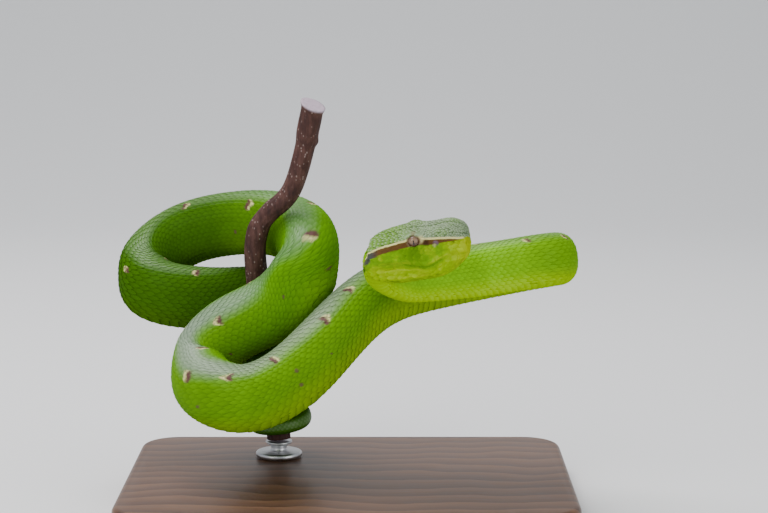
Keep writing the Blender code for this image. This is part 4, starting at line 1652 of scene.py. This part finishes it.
def barkMaterial():
    material, graph, shader = newMaterial("barkedTwig", {"Roughness": 0.8, "Specular IOR Level": 0.3})
    place = graph.place()
    grain = graph.noise(graph.stretch(place, (1.0, 1.0, 0.22)), 900.0, 6.0, 0.65)
    patches = graph.noise(place, 240.0, 4.0)
    pores = graph.node("ShaderNodeTexVoronoi", {}, {"Vector": graph.stretch(place, (1.0, 1.0, 0.7)),
                                                    "Scale": 1050.0}, "Distance")
    bark = graph.ramp(grain * 0.7 + patches * 0.4, barkShape["bark"])
    dots = (1.0 - pores.smooth(0.12, 0.26)) * patches.smooth(0.40, 0.54)
    bark = graph.mix(dots * (0.15 + grain * 0.8), bark, barkShape["pores"])
    wood = graph.mix(graph.noise(place, 1400.0, 3.0), *barkShape["wood"])
    feed(graph, shader, {"Base Color": graph.mix(graph.field("cut"), bark, wood),
                         "Roughness": 0.72 + (grain - 0.5) * 0.3,
                         "Normal": graph.bump(grain + dots * 0.5, 0.6, 0.00025)})
    return material


def buildTwig():
    rng = np.random.default_rng(barkShape["seed"])
    curve = rowsThrough(twigShape["points"], twigShape["rings"])
    centre = curve[:, :3] + (0, bodyShape["shiftY"], 0)
    alongWay = unit(np.gradient(centre, axis=0))
    side = unit(np.cross(alongWay, np.array((0, 1.0, 0))))
    out = np.cross(side, alongWay)
    turn = 2 * math.pi * np.arange(twigShape["around"]) / twigShape["around"]
    run = lengthAlong(curve)
    share = run / run[-1]
    waves = np.zeros((len(curve), len(turn)))
    for _ in range(barkShape["waves"]):
        ringWave, runWave = rng.integers(2, 17), rng.uniform(0.05, 0.9)
        waves += rng.uniform(0.3, 1) / (1 + ringWave * 0.12) * np.sin(
            ringWave * turn[None, :] + runWave * run[:, None] * rng.choice((-1, 1)) + rng.uniform(0, 6.3))
    waves = (waves - waves.max()) / (waves.max() - waves.min())
    # Slim in the middle, thicker towards the foot and at the cut top.
    neat = barkShape["waist"] + barkShape["upper"] * softStep((11 - run) / 4)
    neat = neat + barkShape["rim"] * np.exp(-(run / 0.8) ** 2)
    foot = np.clip((share - 0.35) * 3, 0, 0.1) + barkShape["waist"]
    neat = np.where(share > 0.35, np.maximum(neat, foot), neat)
    radius = (curve[:, 3] * barkShape["slim"] * neat)[:, None] + barkShape["ridge"] * waves
    for at, facing, wide, height in barkShape["knots"]:
        gap = (np.angle(np.exp(1j * (turn - facing)))[None, :] * 2.9) ** 2
        gap = gap + ((share - at)[:, None] * run[-1]) ** 2
        radius = radius + height * np.exp(-gap / wide ** 2 * 2.2)
    points = centre[:, None] + radius[..., None] * (side[:, None] * np.cos(turn)[None, :, None]
                                                    + out[:, None] * np.sin(turn)[None, :, None])
    slope = barkShape["cutSlope"] * (1 + np.cos(turn - barkShape["cutFacing"])) - barkShape["cutLift"]
    points = points + alongWay[:, None] * (slope * clamped(1 - run / 6)[:, None])[..., None]
    rings, cut = [points], [clamped(1 - run / 0.5)[:, None] * np.ones(len(turn))]
    for end, sign in ((0, -1), (-1, 1)):
        hub = points[end].mean(axis=0)
        for inset, lift in barkShape["cutRings"]:
            ring = hub + (points[end] - hub) * inset + alongWay[end] * sign * lift
            at = 0 if sign < 0 else len(rings)
            rings.insert(at, ring[None])
            cut.insert(at, np.ones((1, len(turn))))
    grid = np.concatenate(rings)
    piece = makeObject("perchTwig", grid.reshape(-1, 3), cappedTube(*grid.shape[:2]), barkMaterial())
    outwards(piece)
    setField(piece.data, "cut", np.concatenate(cut))
    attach(piece, "root")
    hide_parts("perch_twig")
    return piece


buildTwig()
print("twig")


# The stand: a chamfered wooden base and a short turned rod with a cup for the twig.
standShape = {
    "corner": 10.0,
    "edge": 1.6,
    "edgeSteps": 5,
    "cornerSteps": 14,
    "wood": ((0.15, (0.030, 0.012, 0.006)), (0.45, (0.085, 0.036, 0.017)), (0.75, (0.15, 0.07, 0.033)),
             (0.95, (0.20, 0.10, 0.05))),
    "steel": (0.60, 0.60, 0.61),
    # Outline of the rod: radius, height. It goes on up to the cup's brim.
    "rod": ((0.02, 0.0), (5.7, 0.0), (6.0, 0.25), (6.0, 0.95), (5.75, 1.3), (5.2, 1.5), (2.5, 1.62),
            (2.1, 1.9), (2.1, 3.0), (2.5, 3.25), (3.25, 3.45), (3.4, 3.7)),
    "rodAround": 72,
}


def woodMaterial():
    material, graph, shader = newMaterial("oiledWood", {"Roughness": 0.4, "Coat Weight": 0.15,
                                                        "Coat Roughness": 0.2})
    place = graph.place()
    warp = graph.noise(place, 18.0, 2.0)
    moved = graph.vector("ADD", place, graph.node("ShaderNodeCombineXYZ", {}, {
        "X": 0.0, "Y": (warp - 0.5) * 0.02, "Z": (warp - 0.5) * 0.01}))
    rings = graph.node("ShaderNodeTexWave", {"bands_direction": "Y", "wave_profile": "SAW"}, {
        "Vector": moved, "Scale": 46.0, "Distortion": 1.8, "Detail": 3.0, "Detail Scale": 1.5}, "Fac")
    fibre = graph.noise(graph.stretch(moved, (0.05, 1.0, 1.0)), 1600.0, 4.0, 0.6)
    feed(graph, shader, {"Base Color": graph.ramp(rings * 0.42 + fibre * 0.62, standShape["wood"]),
                         "Roughness": 0.34 + fibre * 0.2, "Normal": graph.bump(fibre, 0.25, 0.00015)})
    return material


def steelMaterial():
    material, graph, shader = newMaterial("turnedSteel", {
        "Metallic": 1.0, "Base Color": (*standShape["steel"], 1.0)})
    lines = graph.noise(graph.stretch(graph.place(), (0.05, 0.05, 1.0)), 9000.0, 2.0)
    feed(graph, shader, {"Roughness": 0.24 + lines * 0.16})
    return material


def buildBase():
    low, high = inMm(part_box("stand_base"))
    middle, size = (low + high) / 2, high - low
    edge, corner = standShape["edge"], standShape["corner"]
    steps = np.linspace(0, math.pi / 2, standShape["edgeSteps"] + 1)
    profile = [(edge * (1 - math.sin(a)), low[2] + edge * (1 - math.cos(a))) for a in steps]
    profile += [(inset, low[2] + high[2] - z) for inset, z in reversed(profile)]
    rings = []
    for inset, z in profile:
        ring = []
        for quarter, (sx, sy) in enumerate(((1, 1), (-1, 1), (-1, -1), (1, -1))):
            x = middle[0] + sx * (size[0] / 2 - corner)
            y = middle[1] + sy * (size[1] / 2 - corner)
            for step in range(standShape["cornerSteps"] + 1):
                turn = math.pi / 2 * (quarter + step / standShape["cornerSteps"])
                reach = corner - inset
                ring.append((x + reach * math.cos(turn), y + reach * math.sin(turn), z))
        rings.append(ring)
    faces = cappedTube(len(rings), len(rings[0]))
    piece = makeObject("displayBase", np.array(rings).reshape(-1, 3), faces, woodMaterial())
    outwards(piece)
    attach(piece, "root")
    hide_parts("stand_base")


def buildRod():
    low, high = inMm(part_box("stand_rod"))
    x, y, _ = (low + high) / 2
    brim = high[2] - low[2]
    outline = (*standShape["rod"], (standShape["rod"][-1][0], brim), (standShape["rod"][0][0], brim))
    around = standShape["rodAround"]
    turn = 2 * math.pi * np.arange(around) / around
    rings = [sheetOf(x + r * np.cos(turn), y + r * np.sin(turn), low[2] + z) for r, z in outline]
    faces = cappedTube(len(rings), around)
    piece = makeObject("turnedRod", np.concatenate(rings), faces, steelMaterial())
    outwards(piece)
    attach(piece, "root")
    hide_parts("stand_rod")


buildBase()
buildRod()
print("stand")

# One skin stands for every length of flesh, and the coat rides with it.
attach(skin, "root")
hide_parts("head", "neck", *(f"trunk_{n}" for n in range(1, 7)), "tail")
for coat in coats:
    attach(coat, "root")
for guide in (leaf, plate, granule, spineGuide):
    bpy.data.objects.remove(guide, do_unlink=True)


# Floor, light and camera.
studio = {
    "floor": (0.80, 0.80, 0.79),
    # The floor's sweep in metres: front edge, where it starts to rise, radius, height, half width.
    "sweep": (-3.0, 0.55, 0.7, 3.0, 3.5),
    "lights": (
        # name, place, aim, size, power, colour
        ("topLight", (-0.20, 0.12, 0.75), (0, 0, 0.05), 0.50, 6.6, (1.0, 0.97, 1.0)),
        ("keyLight", (-0.35, -0.60, 0.50), (0, 0, 0.05), 0.50, 3.4, (1.0, 0.98, 0.95)),
        ("fillLight", (0.60, -0.45, 0.28), (0, 0, 0.05), 0.50, 1.4, (1.0, 1.0, 1.0)),
    ),
    "sky": (0.82, 0.88, 0.95),
    "skyPower": 0.62,
}
# Aim and distance in mm, elevation in degrees.
cameraPlace = {"aim": (8.9, -20.0, 66.0), "elevation": 8.0, "distance": 512.0, "lens": 100.0,
               "sensor": 36.0, "nearest": 0.01}

front, start, bend, tall, half = studio["sweep"]
profile = [(front, 0.0)] + [(start + bend * math.sin(a), bend * (1 - math.cos(a)))
                            for a in np.linspace(0, math.pi / 2, 25)] + [(start + bend, tall)]
floorMesh = bpy.data.meshes.new("floor")
floorMesh.from_pydata([(x, y, z) for y, z in profile for x in (-half, half)], [],
                      [(2 * i, 2 * i + 1, 2 * i + 3, 2 * i + 2) for i in range(len(profile) - 1)])
floorMesh.shade_smooth()
floor = bpy.data.objects.new("floor", floorMesh)
bpy.context.scene.collection.objects.link(floor)
floorMesh.materials.append(newMaterial("paleFloor", {
    "Base Color": (*studio["floor"], 1.0), "Roughness": 0.9})[0])

for name, place, aim, size, power, colour in studio["lights"]:
    lamp = bpy.data.lights.new(name, "AREA")
    lamp.energy, lamp.size, lamp.color = power, size, colour
    holder = bpy.data.objects.new(name, lamp)
    holder.location = place
    holder.rotation_euler = (Vector(aim) - Vector(place)).to_track_quat("-Z", "Y").to_euler()
    bpy.context.scene.collection.objects.link(holder)
sky = bpy.data.worlds.new("softSky")
sky.use_nodes = True
glow = sky.node_tree.nodes["Background"].inputs
glow["Color"].default_value = (*studio["sky"], 1.0)
glow["Strength"].default_value = studio["skyPower"]
bpy.context.scene.world = sky

camera = bpy.data.cameras.new("frontView")
camera.lens, camera.sensor_width = cameraPlace["lens"], cameraPlace["sensor"]
camera.clip_start = cameraPlace["nearest"]
holder = bpy.data.objects.new("frontView", camera)
tilt = math.radians(cameraPlace["elevation"])
holder.location = (Vector(cameraPlace["aim"]) - Vector((0, math.cos(tilt), -math.sin(tilt)))
                   * cameraPlace["distance"]) * mm
holder.rotation_euler = (math.pi / 2 - tilt, 0, 0)
bpy.context.scene.collection.objects.link(holder)
bpy.context.scene.camera = holder
print("floor, lights and camera")
